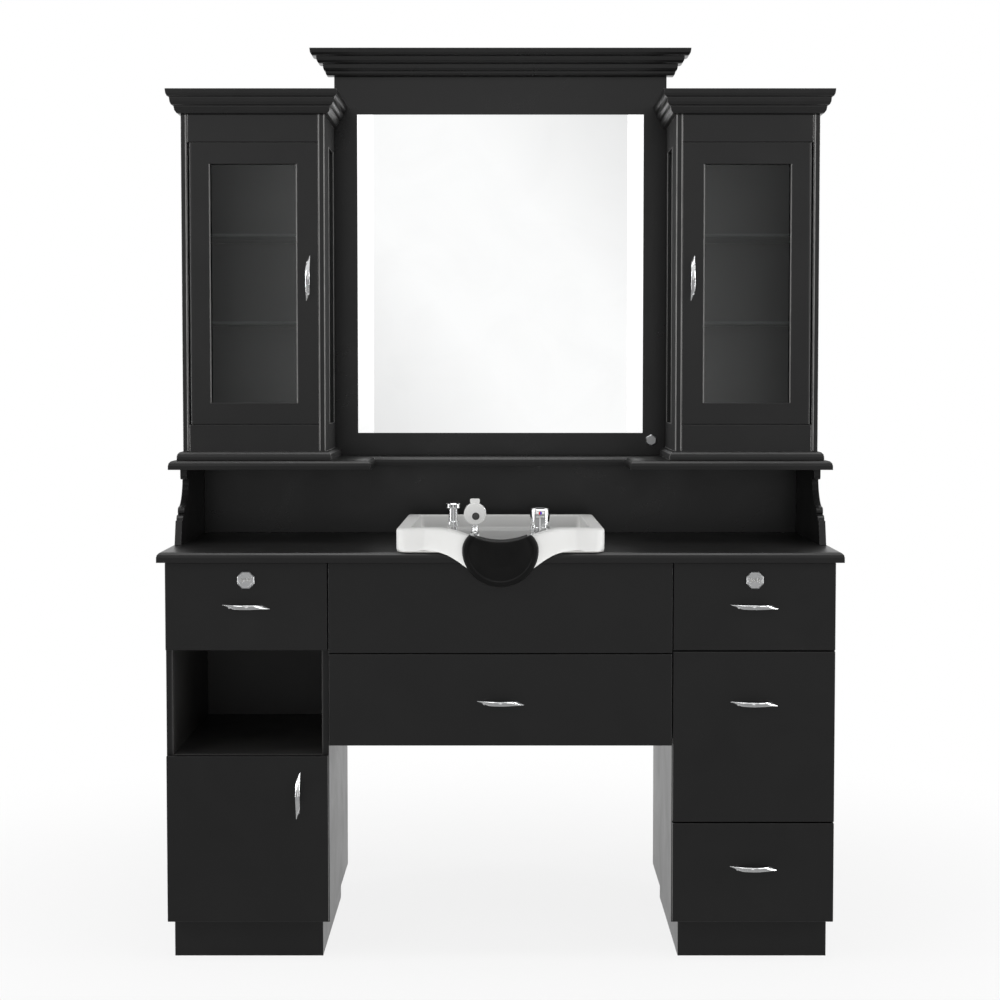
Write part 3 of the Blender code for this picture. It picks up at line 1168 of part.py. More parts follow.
lever_plan = arc(TAP_Y, lever_axis[2], heel_radius, -90, 90, 8)
lever_tip = TAP_Y - LEVER_LENGTH
corner_y = lever_tip + LEVER_ROUND
corner_rise = heel_radius - LEVER_ROUND
lever_plan += arc(corner_y, lever_axis[2] + corner_rise, LEVER_ROUND, 90, 180, 3)
lever_plan += arc(corner_y, lever_axis[2] - corner_rise, LEVER_ROUND, 180, 270, 3)
lever_bar = prism(lever_plan, lambda u, v, w: (w, u, v), MIXER_X - LEVER_WIDTH / 2, MIXER_X + LEVER_WIDTH / 2)
mixer_lever = add_object('mixer_lever', lever_bar, CHROME, lever_axis)
smooth(fuse(mixer_lever, rod(LEVER_PIN, -pin_half, pin_half, lever_axis, 'X')))


# Vacuum breaker and hose guide on one base plate, with the spray head parked in the guide

plate_x = (BREAKER_X - 0.020, SPRAY_X + GUIDE_RADIUS + 0.004)
plate_y = (TAP_Y - 0.019, TAP_Y + 0.019)
breaker_at = (BREAKER_X, TAP_Y, deck)
guide_at = (SPRAY_X, TAP_Y, deck)
collar = BREAKER_RADIUS + 0.003
breaker_profile = ((BREAKER_FOOT, PLATE_THICK / 2), (BREAKER_FOOT, 0.012), (BREAKER_RADIUS, 0.015),
                   (BREAKER_RADIUS, 0.034), (collar, 0.036), (collar, 0.044), (BREAKER_RADIUS, 0.046),
                   (BREAKER_RADIUS, BREAKER_HEIGHT - 0.014), (BREAKER_CAP, BREAKER_HEIGHT - 0.010),
                   (BREAKER_CAP, BREAKER_HEIGHT - 0.002), (BREAKER_CAP - 0.002, BREAKER_HEIGHT))
plate = box(*plate_x, *plate_y, deck, deck + PLATE_THICK)
vacuum_breaker = add_object('vacuum_breaker', plate, CHROME, breaker_at)
guide_profile = ((GUIDE_RADIUS + 0.002, PLATE_THICK / 2), (GUIDE_RADIUS, 0.008),
                 (GUIDE_RADIUS, GUIDE_HEIGHT - 0.002), (GUIDE_RADIUS - 0.002, GUIDE_HEIGHT))
fuse(vacuum_breaker, lathe(breaker_profile, breaker_at, 'Z', 16), lathe(guide_profile, guide_at, 'Z', 20))
cut(vacuum_breaker, rod(bore_radius(SPRAY_HANDLE, 16), PLATE_THICK, GUIDE_HEIGHT + PANEL, guide_at, 'Z', 16))
smooth(vacuum_breaker)

head_z = DECK_Z + SPRAY_RISE
head_at = (SPRAY_X, TAP_Y, head_z)
head_profile = ((SPRAY_RADIUS * 0.92, -SPRAY_HEAD * 0.5), (SPRAY_RADIUS, -SPRAY_HEAD * 0.36),
                (SPRAY_RADIUS, SPRAY_HEAD * 0.05), (SPRAY_RADIUS * 0.86, SPRAY_HEAD * 0.32),
                (SPRAY_RADIUS * 0.55, SPRAY_HEAD * 0.5))
sprayer = add_object('sprayer', lathe(head_profile, head_at, 'Y', 24), WHITE_PLASTIC, head_at)
handle_foot = deck + PLATE_THICK + GAP
handle_profile = ((SPRAY_HANDLE - 0.001, handle_foot), (SPRAY_HANDLE, handle_foot + 0.002),
                  (SPRAY_HANDLE, deck + GUIDE_HEIGHT), (SPRAY_HANDLE - 0.001, deck + GUIDE_HEIGHT + 0.006),
                  (SPRAY_HANDLE, head_z - SPRAY_RADIUS * 0.5))
fuse(sprayer, lathe(handle_profile, (SPRAY_X, TAP_Y, 0.0), 'Z', 16))
nozzle_at = (SPRAY_X + NOZZLE_SHIFT[0], TAP_Y - SPRAY_HEAD / 2, head_z + NOZZLE_SHIFT[1])
cut(sprayer, rod(NOZZLE_RADIUS, -NOZZLE_DEPTH, NOZZLE_DEPTH, nozzle_at, 'Y', 16))
boss_top = head_z + SPRAY_RADIUS - TRIGGER_SINK
stem_foot = boss_top - TRIGGER_BORE
recess_half = TRIGGER_WIDTH / 2 + RUN
recess_back = TAP_Y + TRIGGER_DEPTH / 2 + RUN
cut(sprayer, box(SPRAY_X - recess_half, SPRAY_X + recess_half, TAP_Y - TRIGGER_DEPTH / 2 - RUN, recess_back,
                 boss_top, boss_top + PANEL))
cut(sprayer, rod(bore_radius(TRIGGER_STEM), stem_foot, boss_top + PANEL, (SPRAY_X, TAP_Y, 0.0)))
smooth(sprayer)

tab_z0 = boss_top + TRIGGER_TRAVEL + GAP
tab_half = TRIGGER_WIDTH / 2
tab_plan = arc(tab_half - TRIGGER_ROUND, TRIGGER_ROUND, TRIGGER_ROUND, -90, 0, 2)
tab_plan += arc(tab_half - TRIGGER_ROUND, TRIGGER_HEIGHT - TRIGGER_ROUND, TRIGGER_ROUND, 0, 90, 2)
tab_plan += [(-u, v) for u, v in reversed(tab_plan)]
tab = prism(tab_plan, lambda u, v, w: (SPRAY_X + u, w, tab_z0 + v), TAP_Y - TRIGGER_DEPTH / 2,
            TAP_Y + TRIGGER_DEPTH / 2)
spray_trigger = add_object('spray_trigger', tab, WHITE_PLASTIC, (SPRAY_X, TAP_Y, tab_z0))
stem = rod(TRIGGER_STEM, stem_foot + TRIGGER_TRAVEL + GAP, tab_z0 + TRIGGER_HEIGHT / 2, (SPRAY_X, TAP_Y, 0.0))
smooth(fuse(spray_trigger, stem))


# Eased edges on the painted fronts

for name in ('base_door', 'left_drawer_front', 'right_top_drawer_front', 'right_middle_drawer_front',
             'right_low_drawer_front', 'centre_drawer_front'):
    ease(bpy.data.objects[name], angle=80.0)
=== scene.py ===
import math
import bmesh
import bpy
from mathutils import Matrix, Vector


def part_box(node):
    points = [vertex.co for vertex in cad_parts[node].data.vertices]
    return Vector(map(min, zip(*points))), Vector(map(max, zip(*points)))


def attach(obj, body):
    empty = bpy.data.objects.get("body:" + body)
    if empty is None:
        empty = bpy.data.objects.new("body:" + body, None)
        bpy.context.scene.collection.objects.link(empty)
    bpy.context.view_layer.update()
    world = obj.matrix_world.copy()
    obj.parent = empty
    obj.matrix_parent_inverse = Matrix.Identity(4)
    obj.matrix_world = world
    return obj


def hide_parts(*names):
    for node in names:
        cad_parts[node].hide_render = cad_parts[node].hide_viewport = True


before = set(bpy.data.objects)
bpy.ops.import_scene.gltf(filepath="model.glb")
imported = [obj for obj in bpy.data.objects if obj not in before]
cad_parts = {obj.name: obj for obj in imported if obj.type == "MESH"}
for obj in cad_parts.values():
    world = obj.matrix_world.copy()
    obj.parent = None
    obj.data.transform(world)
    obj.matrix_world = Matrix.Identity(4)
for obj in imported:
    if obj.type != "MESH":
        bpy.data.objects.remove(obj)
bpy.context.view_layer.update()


# Cabinet boards: fibreboard panels, screwed and glued, their edges eased by hand and then sprayed in
# satin black lacquer. The skin keeps a faint orange peel, dull wipe marks and thinner paint on edges,
# and the inside of the open niche in the left pedestal is painted lighter, a painted brightening of its
# shade.
def add(tree, kind, settings, inputs):
    made = tree.nodes.new(kind)
    for name, value in settings.items():
        setattr(made, name, value)
    for key, value in inputs.items():
        if isinstance(value, bpy.types.NodeSocket):
            tree.links.new(value, made.inputs[key])
        else:
            made.inputs[key].default_value = value
    return made


def maths(tree, operation, first, second=0.5):
    return add(tree, "ShaderNodeMath", {"operation": operation}, {0: first, 1: second}).outputs[0]


def vector_maths(tree, operation, first, second=(0.0, 0.0, 0.0)):
    made = add(tree, "ShaderNodeVectorMath", {"operation": operation}, {0: first, 1: second})
    return made.outputs["Value" if operation in ("DOT_PRODUCT", "DISTANCE", "LENGTH") else "Vector"]


def split(tree, vector):
    return add(tree, "ShaderNodeSeparateXYZ", {}, {0: vector}).outputs


def noise(tree, vector, scale, **values):
    return add(tree, "ShaderNodeTexNoise", {}, {"Vector": vector, "Scale": scale, **values}).outputs["Fac"]


def mix_colour(tree, share, first, second):
    return add(tree, "ShaderNodeMix", {"data_type": "RGBA"}, {0: share, 6: first, 7: second}).outputs[2]


def ranged(tree, value, from_low, from_high, to_low, to_high):
    made = add(tree, "ShaderNodeMapRange", {}, {0: value, 1: from_low, 2: from_high, 3: to_low, 4: to_high})
    return made.outputs[0]


def faint(tree, value, most):
    return ranged(tree, value, 0.0, 1.0, 0.0, most)


def new_group(name, inputs, outputs):
    tree = bpy.data.node_groups.new(name, "ShaderNodeTree")
    for label, kind in inputs:
        tree.interface.new_socket(label, in_out="INPUT", socket_type=kind)
    for label, kind in outputs:
        tree.interface.new_socket(label, in_out="OUTPUT", socket_type=kind)
    return tree, tree.nodes.new("NodeGroupInput").outputs, tree.nodes.new("NodeGroupOutput").inputs


def use_group(tree, group, inputs):
    return add(tree, "ShaderNodeGroup", {"node_tree": group}, inputs).outputs


def new_material(name, **values):
    made = bpy.data.materials.new(name)
    made.use_nodes = True
    tree = made.node_tree
    surface = tree.nodes["Principled BSDF"]
    for key, value in values.items():
        surface.inputs[key.replace("_", " ")].default_value = value
    place = tree.nodes.new("ShaderNodeTexCoord").outputs["Object"]
    return made, tree, surface, place


def coloured(tree, surface, share, first, second):
    tree.links.new(mix_colour(tree, share, first, second), surface.inputs["Base Color"])


def roughened(tree, surface, share, low, high):
    tree.links.new(ranged(tree, share, 0.0, 1.0, low, high), surface.inputs["Roughness"])


def bumped(tree, surface, height, strength, distance, normal=None):
    made = add(tree, "ShaderNodeBump", {}, {"Height": height, "Strength": strength, "Distance": distance})
    if normal is not None:
        tree.links.new(normal, made.inputs["Normal"])
    tree.links.new(made.outputs["Normal"], surface.inputs["Normal"])


def coat(names, finish):
    for name in names:
        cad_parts[name].material_slots[0].material = finish


lacquer_skin, entry, result = new_group(
    "lacquer_skin",
    (("Place", "NodeSocketVector"), ("Peel Scale", "NodeSocketFloat"), ("Wipe Scale", "NodeSocketFloat")),
    (("Peel", "NodeSocketFloat"), ("Wipe", "NodeSocketFloat")))
wipe = noise(lacquer_skin, entry["Place"], entry["Wipe Scale"], Detail=5.0, Roughness=0.62, Distortion=0.8)
lacquer_skin.links.new(noise(lacquer_skin, entry["Place"], entry["Peel Scale"], Detail=2.0), result["Peel"])
lacquer_skin.links.new(ranged(lacquer_skin, wipe, 0.35, 0.7, 0.0, 1.0), result["Wipe"])

eased_edge, entry, result = new_group(
    "eased_edge", (("Radius", "NodeSocketFloat"),),
    (("Edge", "NodeSocketFloat"), ("Rounded", "NodeSocketVector")))
rounded = add(eased_edge, "ShaderNodeBevel", {"samples": 6}, {"Radius": entry["Radius"]}).outputs["Normal"]
flat = eased_edge.nodes.new("ShaderNodeNewGeometry").outputs["True Normal"]
turned = vector_maths(eased_edge, "DOT_PRODUCT", rounded, flat)
eased_edge.links.new(ranged(eased_edge, turned, 0.995, 0.80, 0.0, 1.0), result["Edge"])
eased_edge.links.new(rounded, result["Rounded"])

settled_dust, entry, result = new_group(
    "settled_dust", (("Place", "NodeSocketVector"), ("Scale", "NodeSocketFloat")),
    (("Dust", "NodeSocketFloat"),))
upward = split(settled_dust, settled_dust.nodes.new("ShaderNodeNewGeometry").outputs["Normal"])["Z"]
speckle = noise(settled_dust, entry["Place"], entry["Scale"], Detail=6.0)
lying = ranged(settled_dust, upward, 0.6, 1.0, 0.0, 1.0)
grains = ranged(settled_dust, speckle, 0.45, 0.75, 0.0, 1.0)
settled_dust.links.new(maths(settled_dust, "MULTIPLY", lying, grains), result["Dust"])


def skin_marks(tree, place, peel_scale, wipe_scale):
    return use_group(tree, lacquer_skin, {"Place": place, "Peel Scale": peel_scale, "Wipe Scale": wipe_scale})


def edge_marks(tree, radius):
    return use_group(tree, eased_edge, {"Radius": radius})


def dust_on(tree, place, scale):
    return use_group(tree, settled_dust, {"Place": place, "Scale": scale})["Dust"]


powder = (0.09, 0.088, 0.085, 1)


def sprayed(name, gloss, smooth_low, smooth_high):
    made, tree, surface, place = new_material(name, Specular_IOR_Level=gloss)
    skin = skin_marks(tree, place, 420.0, 5.0)
    edge = edge_marks(tree, 0.0016)
    black = mix_colour(tree, skin["Wipe"], (0.0048, 0.0047, 0.0048, 1), (0.0058, 0.0057, 0.0057, 1))
    worn = mix_colour(tree, faint(tree, edge["Edge"], 0.5), black, (0.034, 0.033, 0.033, 1))
    coloured(tree, surface, faint(tree, dust_on(tree, place, 60.0), 0.10), worn, powder)
    roughened(tree, surface, skin["Wipe"], smooth_low, smooth_high)
    bumped(tree, surface, skin["Peel"], 0.05, 0.0006, edge["Rounded"])
    return made


drawers = ("left_drawer", "right_top_drawer", "right_middle_drawer", "right_low_drawer", "centre_drawer")
lacquer = sprayed("satin_black_lacquer", 0.40, 0.33, 0.39)
coat([name + "_front" for name in drawers], lacquer)
coat(("left_plinth", "right_plinth", "centre_frame", "countertop", "left_bracket", "right_bracket",
      "hutch_shelf", "right_pedestal", "base_door"), lacquer)
full_gloss = sprayed("glossier_black_lacquer", 0.54, 0.27, 0.33)
coat(("riser_back", "mirror_board", "left_cornice", "right_cornice", "centre_cornice"), full_gloss)

niche_middle = (-0.594, 0.04, 0.6123)
niche_half = (0.1740, 0.32, 0.1226)
niche_lacquer = sprayed("niche_lacquer_painted_light", 0.40, 0.33, 0.39)
tree = niche_lacquer.node_tree
paint = tree.nodes["Principled BSDF"].inputs["Base Color"]
place = tree.nodes["Texture Coordinate"].outputs["Object"]
in_halves = vector_maths(tree, "DIVIDE", vector_maths(tree, "SUBTRACT", place, niche_middle), niche_half)
reach = split(tree, vector_maths(tree, "ABSOLUTE", in_halves))
farthest = maths(tree, "MAXIMUM", maths(tree, "MAXIMUM", reach["X"], reach["Y"]), reach["Z"])
# painted light: inside the left pedestal's niche the lacquer colour is mixed to a lighter grey, brightening
# its shade
niche_painted_light_share = ranged(tree, farthest, 1.003, 1.03, 1.0, 0.0)
tree.links.new(mix_colour(tree, niche_painted_light_share, paint.links[0].from_socket, (0.045, 0.044, 0.043, 1)), paint)
coat(("left_pedestal",), niche_lacquer)


# Display cases and their doors: the same lacquer over planed frames and fluted posts, with thinner paint on
# the edges, a painted highlight of light grey along the upright edges, and left matt on the sides that face
# inward.
case_lacquer, tree, surface, place = new_material("case_lacquer_painted_highlight", Specular_IOR_Level=0.48)
facing = split(tree, tree.nodes["Texture Coordinate"].outputs["Normal"])
inward = maths(tree, "MULTIPLY", split(tree, place)["X"], facing["X"])
skin = skin_marks(tree, place, 420.0, 6.0)
edge = edge_marks(tree, 0.0022)
# painted highlight: edges whose rounding faces sideways are mixed to a light grey in the base colour
sideways = maths(tree, "ABSOLUTE", split(tree, edge["Rounded"])["X"])
upright = maths(tree, "MULTIPLY", edge["Edge"], ranged(tree, sideways, 0.15, 0.6, 0.0, 1.0))
black = mix_colour(tree, skin["Wipe"], (0.0050, 0.0049, 0.0050, 1), (0.0062, 0.0061, 0.0061, 1))
worn = mix_colour(tree, faint(tree, edge["Edge"], 0.4), black, (0.030, 0.029, 0.029, 1))
edge_wear_and_highlight = mix_colour(tree, upright, worn, (0.36, 0.355, 0.35, 1))
coloured(tree, surface, faint(tree, dust_on(tree, place, 60.0), 0.10), edge_wear_and_highlight, powder)
wiped = ranged(tree, skin["Wipe"], 0.0, 1.0, 0.33, 0.39)
matt = ranged(tree, inward, -0.40, -0.30, 0.60, 0.0)
tree.links.new(maths(tree, "ADD", wiped, matt), surface.inputs["Roughness"])
bumped(tree, surface, skin["Peel"], 0.02, 0.0006, edge["Rounded"])
coat(("left_case", "right_case", "left_door_frame", "right_door_frame"), case_lacquer)


# Drawer boxes: four sides and a bottom in black melamine-faced board with a fine pressed grain,
# glued and screwed, the box screwed to its painted front from inside.
melamine, tree, surface, place = new_material("black_melamine_board", Specular_IOR_Level=0.3)
grain = add(tree, "ShaderNodeMapping", {}, {"Vector": place, "Scale": (60.0, 900.0, 900.0)})
skin = skin_marks(tree, grain.outputs["Vector"], 1.0, 0.05)
edge = edge_marks(tree, 0.0008)
board = mix_colour(tree, skin["Peel"], (0.010, 0.010, 0.010, 1), (0.020, 0.020, 0.020, 1))
edge_wear_and_highlight = mix_colour(tree, faint(tree, edge["Edge"], 0.5), board, (0.05, 0.048, 0.045, 1))
coloured(tree, surface, faint(tree, dust_on(tree, place, 45.0), 0.3), edge_wear_and_highlight, (0.10, 0.098, 0.094, 1))
roughened(tree, surface, skin["Wipe"], 0.42, 0.52)
bumped(tree, surface, skin["Peel"], 0.12, 0.0003)
coat([name + "_box" for name in drawers], melamine)


# Drawer rails and screws: folded zinc-plated steel channels on both sides of each box, and cross-head
# screws that hold the box's back, and the bow pull from inside the front.
def add_block(shape, x_range, y_range, z_range):
    points, faces = shape
    first = len(points)
    for x in x_range:
        for y in y_range:
            for z in z_range:
                points.append((x, y, z))
    for corners in ((0, 1, 3, 2), (4, 6, 7, 5), (0, 4, 5, 1), (2, 3, 7, 6), (0, 2, 6, 4), (1, 5, 7, 3)):
        faces.append([first + corner for corner in corners])


def add_skin(shape, outlines, around, looped=False):
    points, faces = shape
    first = len(points)
    points += outlines
    count = len(outlines) // around
    for number in range(count if looped else count - 1):
        low = first + number * around
        high = first + (number + 1) % count * around
        for step in range(around):
            after = (step + 1) % around
            faces.append((low + step, low + after, high + after, high + step))
    if not looped:
        faces.append(list(range(first, first + around)))
        faces.append(list(range(len(points) - around, len(points))))


def add_turned(shape, profile, centre, axis, sides):
    outlines = []
    for radius, along in profile:
        for step in range(sides):
            angle = math.tau * (step + 0.5) / sides
            u = radius * math.cos(angle)
            v = radius * math.sin(angle)
            offset = {"X": (along, u, v), "Y": (v, along, u), "Z": (u, v, along)}[axis]
            outlines.append(tuple(c + o for c, o in zip(centre, offset)))
    add_skin(shape, outlines, sides)


def shaded_mesh(name, shape, angle=40.0):
    mesh = bpy.data.meshes.new(name)
    mesh.from_pydata(shape[0], [], shape[1])
    work = bmesh.new()
    work.from_mesh(mesh)
    bmesh.ops.remove_doubles(work, verts=work.verts, dist=0.000002)
    bmesh.ops.recalc_face_normals(work, faces=work.faces)
    for face in work.faces:
        face.smooth = True
    for edge in work.edges:
        if len(edge.link_faces) == 2 and edge.calc_face_angle() > math.radians(angle):
            edge.smooth = False
    work.to_mesh(mesh)
    work.free()
    return mesh


def new_piece(name, mesh, finish, body):
    mesh.materials.clear()
    mesh.materials.append(finish)
    made = bpy.data.objects.new(name, mesh)
    bpy.context.collection.objects.link(made)
    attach(made, body)
    return made


def shaped(name, shape, finish, body, angle=40.0):
    return new_piece(name, shaded_mesh(name, shape, angle), finish, body)


repeater = bpy.data.node_groups.new("repeat_part", "GeometryNodeTree")
for label, kind in (("Places", "NodeSocketGeometry"), ("Part", "NodeSocketObject"),
                    ("Spin", "NodeSocketFloat"), ("Seed", "NodeSocketInt"), ("Finish", "NodeSocketMaterial")):
    repeater.interface.new_socket(label, in_out="INPUT", socket_type=kind)
repeater.interface.new_socket("Parts", in_out="OUTPUT", socket_type="NodeSocketGeometry")
entry = repeater.nodes.new("NodeGroupInput").outputs
result = repeater.nodes.new("NodeGroupOutput").inputs
facing = add(repeater, "GeometryNodeInputNamedAttribute", {"data_type": "FLOAT_VECTOR"}, {"Name": "facing"})
upright = add(repeater, "FunctionNodeAlignRotationToVector", {"axis": "Z"}, {"Vector": facing.outputs[0]})
spun = add(repeater, "FunctionNodeRandomValue", {"data_type": "FLOAT"},
           {2: 0.0, 3: entry["Spin"], "Seed": entry["Seed"]})
about = add(repeater, "FunctionNodeAxisAngleToRotation", {}, {"Axis": (0, 0, 1), "Angle": spun.outputs[1]})
steady = add(repeater, "FunctionNodeAlignRotationToVector", {"axis": "Y", "pivot_axis": "Z"},
             {"Rotation": upright.outputs[0], "Vector": (0.0, 0.0, 1.0)})
turn = add(repeater, "FunctionNodeRotateRotation", {"rotation_space": "LOCAL"},
           {0: steady.outputs[0], 1: about.outputs[0]})
part = add(repeater, "GeometryNodeObjectInfo", {}, {"Object": entry["Part"]})
placed = add(repeater, "GeometryNodeInstanceOnPoints", {},
             {"Points": entry["Places"], "Instance": part.outputs["Geometry"], "Rotation": turn.outputs[0]})
real = add(repeater, "GeometryNodeRealizeInstances", {}, {0: placed.outputs[0]})
painted = add(repeater, "GeometryNodeSetMaterial", {}, {0: real.outputs[0], "Material": entry["Finish"]})
repeater.links.new(painted.outputs[0], result[0])


def repeated(name, part, places, finish, body, spin=0.0, seed=1):
    cloud = bpy.data.meshes.new(name + "_places")
    cloud.from_pydata([spot for spot, facing in places], [], [])
    facings = cloud.attributes.new("facing", "FLOAT_VECTOR", "POINT")
    for number, (spot, facing) in enumerate(places):
        facings.data[number].vector = facing
    sample = bpy.data.objects.new(name + "_sample", part)
    holder = bpy.data.objects.new(name + "_places", cloud)
    bpy.context.collection.objects.link(holder)
    modifier = holder.modifiers.new("repeat", "NODES")
    modifier.node_group = repeater
    values = {"Part": sample, "Spin": spin, "Seed": seed, "Finish": finish}
    for item in repeater.interface.items_tree:
        if item.in_out == "INPUT" and item.name in values:
            modifier[item.identifier] = values[item.name]
    ready = holder.evaluated_get(bpy.context.evaluated_depsgraph_get())
    mesh = bpy.data.meshes.new_from_object(ready)
    mesh.name = name
    bpy.data.objects.remove(holder)
    bpy.data.objects.remove(sample)
    return new_piece(name, mesh, finish, body)


zinc, tree, surface, place = new_material("zinc_plated_steel", Metallic=1.0)
skin = skin_marks(tree, place, 900.0, 35.0)
plated = mix_colour(tree, skin["Wipe"], (0.52, 0.53, 0.54, 1), (0.40, 0.405, 0.40, 1))
coloured(tree, surface, edge_marks(tree, 0.0004)["Edge"], plated, (0.68, 0.69, 0.70, 1))
roughened(tree, surface, skin["Wipe"], 0.26, 0.42)
bumped(tree, surface, skin["Peel"], 0.06, 0.0002)

screw = bmesh.new()
head_sides = 24


def screw_ring(radius, z):
    angles = [math.tau * k / head_sides for k in range(head_sides)]
    return [screw.verts.new((radius * math.cos(angle), radius * math.sin(angle), z)) for angle in angles]


rim = screw_ring(0.0034, 0.0)
crown = screw_ring(0.0026, 0.0014)
cross = []
for quarter in range(4):
    turn = math.tau * quarter / 4
    for u, v in ((0.0019, -0.0005), (0.0019, 0.0005), (0.0005, 0.0005)):
        cross.append((u * math.cos(turn) - v * math.sin(turn), u * math.sin(turn) + v * math.cos(turn)))
slot_top = [screw.verts.new((u, v, 0.0017)) for u, v in cross]
slot_low = [screw.verts.new((u * 0.8, v * 0.8, 0.0006)) for u, v in cross]
for k in range(head_sides):
    after = (k + 1) % head_sides
    screw.faces.new((rim[k], rim[after], crown[after], crown[k]))
for k in range(len(cross)):
    after = (k + 1) % len(cross)
    screw.faces.new((slot_top[k], slot_top[after], slot_low[after], slot_low[k]))
    screw.faces.new((crown[2 * k], crown[2 * k + 1], slot_top[k]))
    screw.faces.new((crown[2 * k + 1], crown[(2 * k + 2) % head_sides], slot_top[after], slot_top[k]))
screw.faces.new(slot_low)
screw.faces.new(list(reversed(rim)))
bmesh.ops.recalc_face_normals(screw, faces=screw.faces)
screw_head = bpy.data.meshes.new("cross_head_screw")
screw.to_mesh(screw_head)
screw.free()

pull_reach = 0.0375
for seed, name in enumerate(drawers):
    low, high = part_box(name + "_box")
    run = (low[1] + 0.004, high[1] - 0.004)
    rails = ([], [])
    places = []
    for edge_x, outward in ((low[0], -1), (high[0], 1)):
        web = sorted((edge_x, edge_x + 0.0016 * outward))
        lip = sorted((edge_x, edge_x + 0.0042 * outward))
        add_block(rails, web, run, (low[2] + 0.005, low[2] + 0.021))
        add_block(rails, lip, run, (low[2] + 0.0035, low[2] + 0.0050))
        add_block(rails, lip, run, (low[2] + 0.0210, low[2] + 0.0225))
        for share in (0.35, 0.62, 0.88):
            places.append(((edge_x, high[1] - 0.006, low[2] + (high[2] - low[2]) * share), (outward, 0, 0)))
    shaped(name + "_rails", rails, zinc, name)
    pull_low, pull_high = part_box(name + "_handle")
    front_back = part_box(name + "_front")[1][1]
    middle = (pull_low[0] + pull_high[0]) / 2
    for reach in (-pull_reach, pull_reach):
        places.append(((middle + reach, front_back, (pull_low[2] + pull_high[2]) / 2), (0, 1, 0)))
    repeated(name + "_screws", screw_head, places, zinc, name, math.tau, 11 + seed)


# Handles: bow pulls cast in zinc, polished and chromium plated, held by two screws from behind.
# Bright plating with faint polishing lines and finger marks.
finger_marks, entry, result = new_group(
    "finger_marks",
    (("Place", "NodeSocketVector"), ("Scale", "NodeSocketFloat"), ("Lines", "NodeSocketFloat")),
    (("Smear", "NodeSocketFloat"), ("Line", "NodeSocketFloat")))
cloud = noise(finger_marks, entry["Place"], entry["Scale"], Detail=4.0, Distortion=1.2)
drawn = add(finger_marks, "ShaderNodeMapping", {}, {"Vector": entry["Place"], "Scale": (0.06, 1.0, 1.0)})
strokes = noise(finger_marks, drawn.outputs["Vector"], entry["Lines"], Detail=3.0)
finger_marks.links.new(ranged(finger_marks, cloud, 0.42, 0.72, 0.0, 1.0), result["Smear"])
finger_marks.links.new(strokes, result["Line"])


def handled(tree, place, scale, lines):
    return use_group(tree, finger_marks, {"Place": place, "Scale": scale, "Lines": lines})


chrome, tree, surface, place = new_material("bright_chrome", Metallic=1.0)
marks = handled(tree, place, 55.0, 2200.0)
coloured(tree, surface, marks["Smear"], (0.90, 0.905, 0.91, 1), (0.82, 0.83, 0.84, 1))
roughened(tree, surface, marks["Smear"], 0.10, 0.20)
bumped(tree, surface, marks["Line"], 0.03, 0.0002)

bow_half_length = 0.0474
bow_height = 0.0190
bow_half_width = 0.0053
bow_half_thickness = 0.0019
foot_profile = ((0.0036, -0.0110), (0.0032, -0.0060), (0.0038, -0.0020), (0.0046, -0.0003))
stations = 64
around = 20
for name in drawers + ("left_door", "right_door", "base_door"):
    low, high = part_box(name + "_handle")
    x = (low[0] + high[0]) / 2
    y = high[1] + 0.0003
    z = (low[2] + high[2]) / 2
    upright = high[2] - low[2] > high[0] - low[0]
    outlines = []
    for station in range(stations + 1):
        s = -math.cos(math.pi * station / stations)
        crown = bow_height * (1 - s * s) + 0.0032
        half = bow_half_width * (1 - 0.06 * s * s)
        thick = bow_half_thickness * (1 - 0.55 * s ** 6)
        for step in range(around):
            angle = math.tau * step / around
            u = math.copysign(abs(math.cos(angle)) ** 0.7, math.cos(angle))
            along = s * bow_half_length - 0.0085 * u * abs(s) ** 3
            out = crown + thick * math.sin(angle)
            if upright:
                outlines.append((x - half * u, y - out, z + along))
            else:
                outlines.append((x + along, y - out, z + half * u))
    bow = ([], [])
    add_skin(bow, outlines, around)
    for end in (-pull_reach, pull_reach):
        foot = (x, y, z + end) if upright else (x + end, y, z)
        add_turned(bow, foot_profile, foot, "Y", 24)
    made = shaped(name + "_bow_pull", bow, chrome, name, 60.0)
    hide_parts(name + "_handle")


# Drawer locks: turned octagonal heads in satin-brushed zinc with a bright bevel, a sunk dish and three
# windows, behind which the number drums of the combination stand.
satin, tree, surface, place = new_material("satin_brushed_chrome", Metallic=1.0)
marks = handled(tree, place, 90.0, 5200.0)
edge = edge_marks(tree, 0.0006)
brushed = mix_colour(tree, marks["Line"], (0.56, 0.565, 0.57, 1), (0.66, 0.665, 0.67, 1))
coloured(tree, surface, edge["Edge"], brushed, (0.85, 0.855, 0.86, 1))
roughened(tree, surface, marks["Smear"], 0.40, 0.50)
bumped(tree, surface, marks["Line"], 0.04, 0.0002, edge["Rounded"])
coat(("left_lock", "right_lock"), satin)


# Number drums: three ivory wheels a lock, seen through its windows, each printed with a black figure.
# Plain moulded finishes like these share one recipe: a wiped colour, a polish and the mould's texture.
def moulded(name, peel_scale, wipe_scale, first, second, polish=None, texture=None, **values):
    made, tree, surface, place = new_material(name, **values)
    skin = skin_marks(tree, place, peel_scale, wipe_scale)
    coloured(tree, surface, skin["Wipe"], first, second)
    if polish:
        roughened(tree, surface, skin["Wipe"], *polish)
    if texture:
        bumped(tree, surface, skin["Peel"], *texture)
    return made


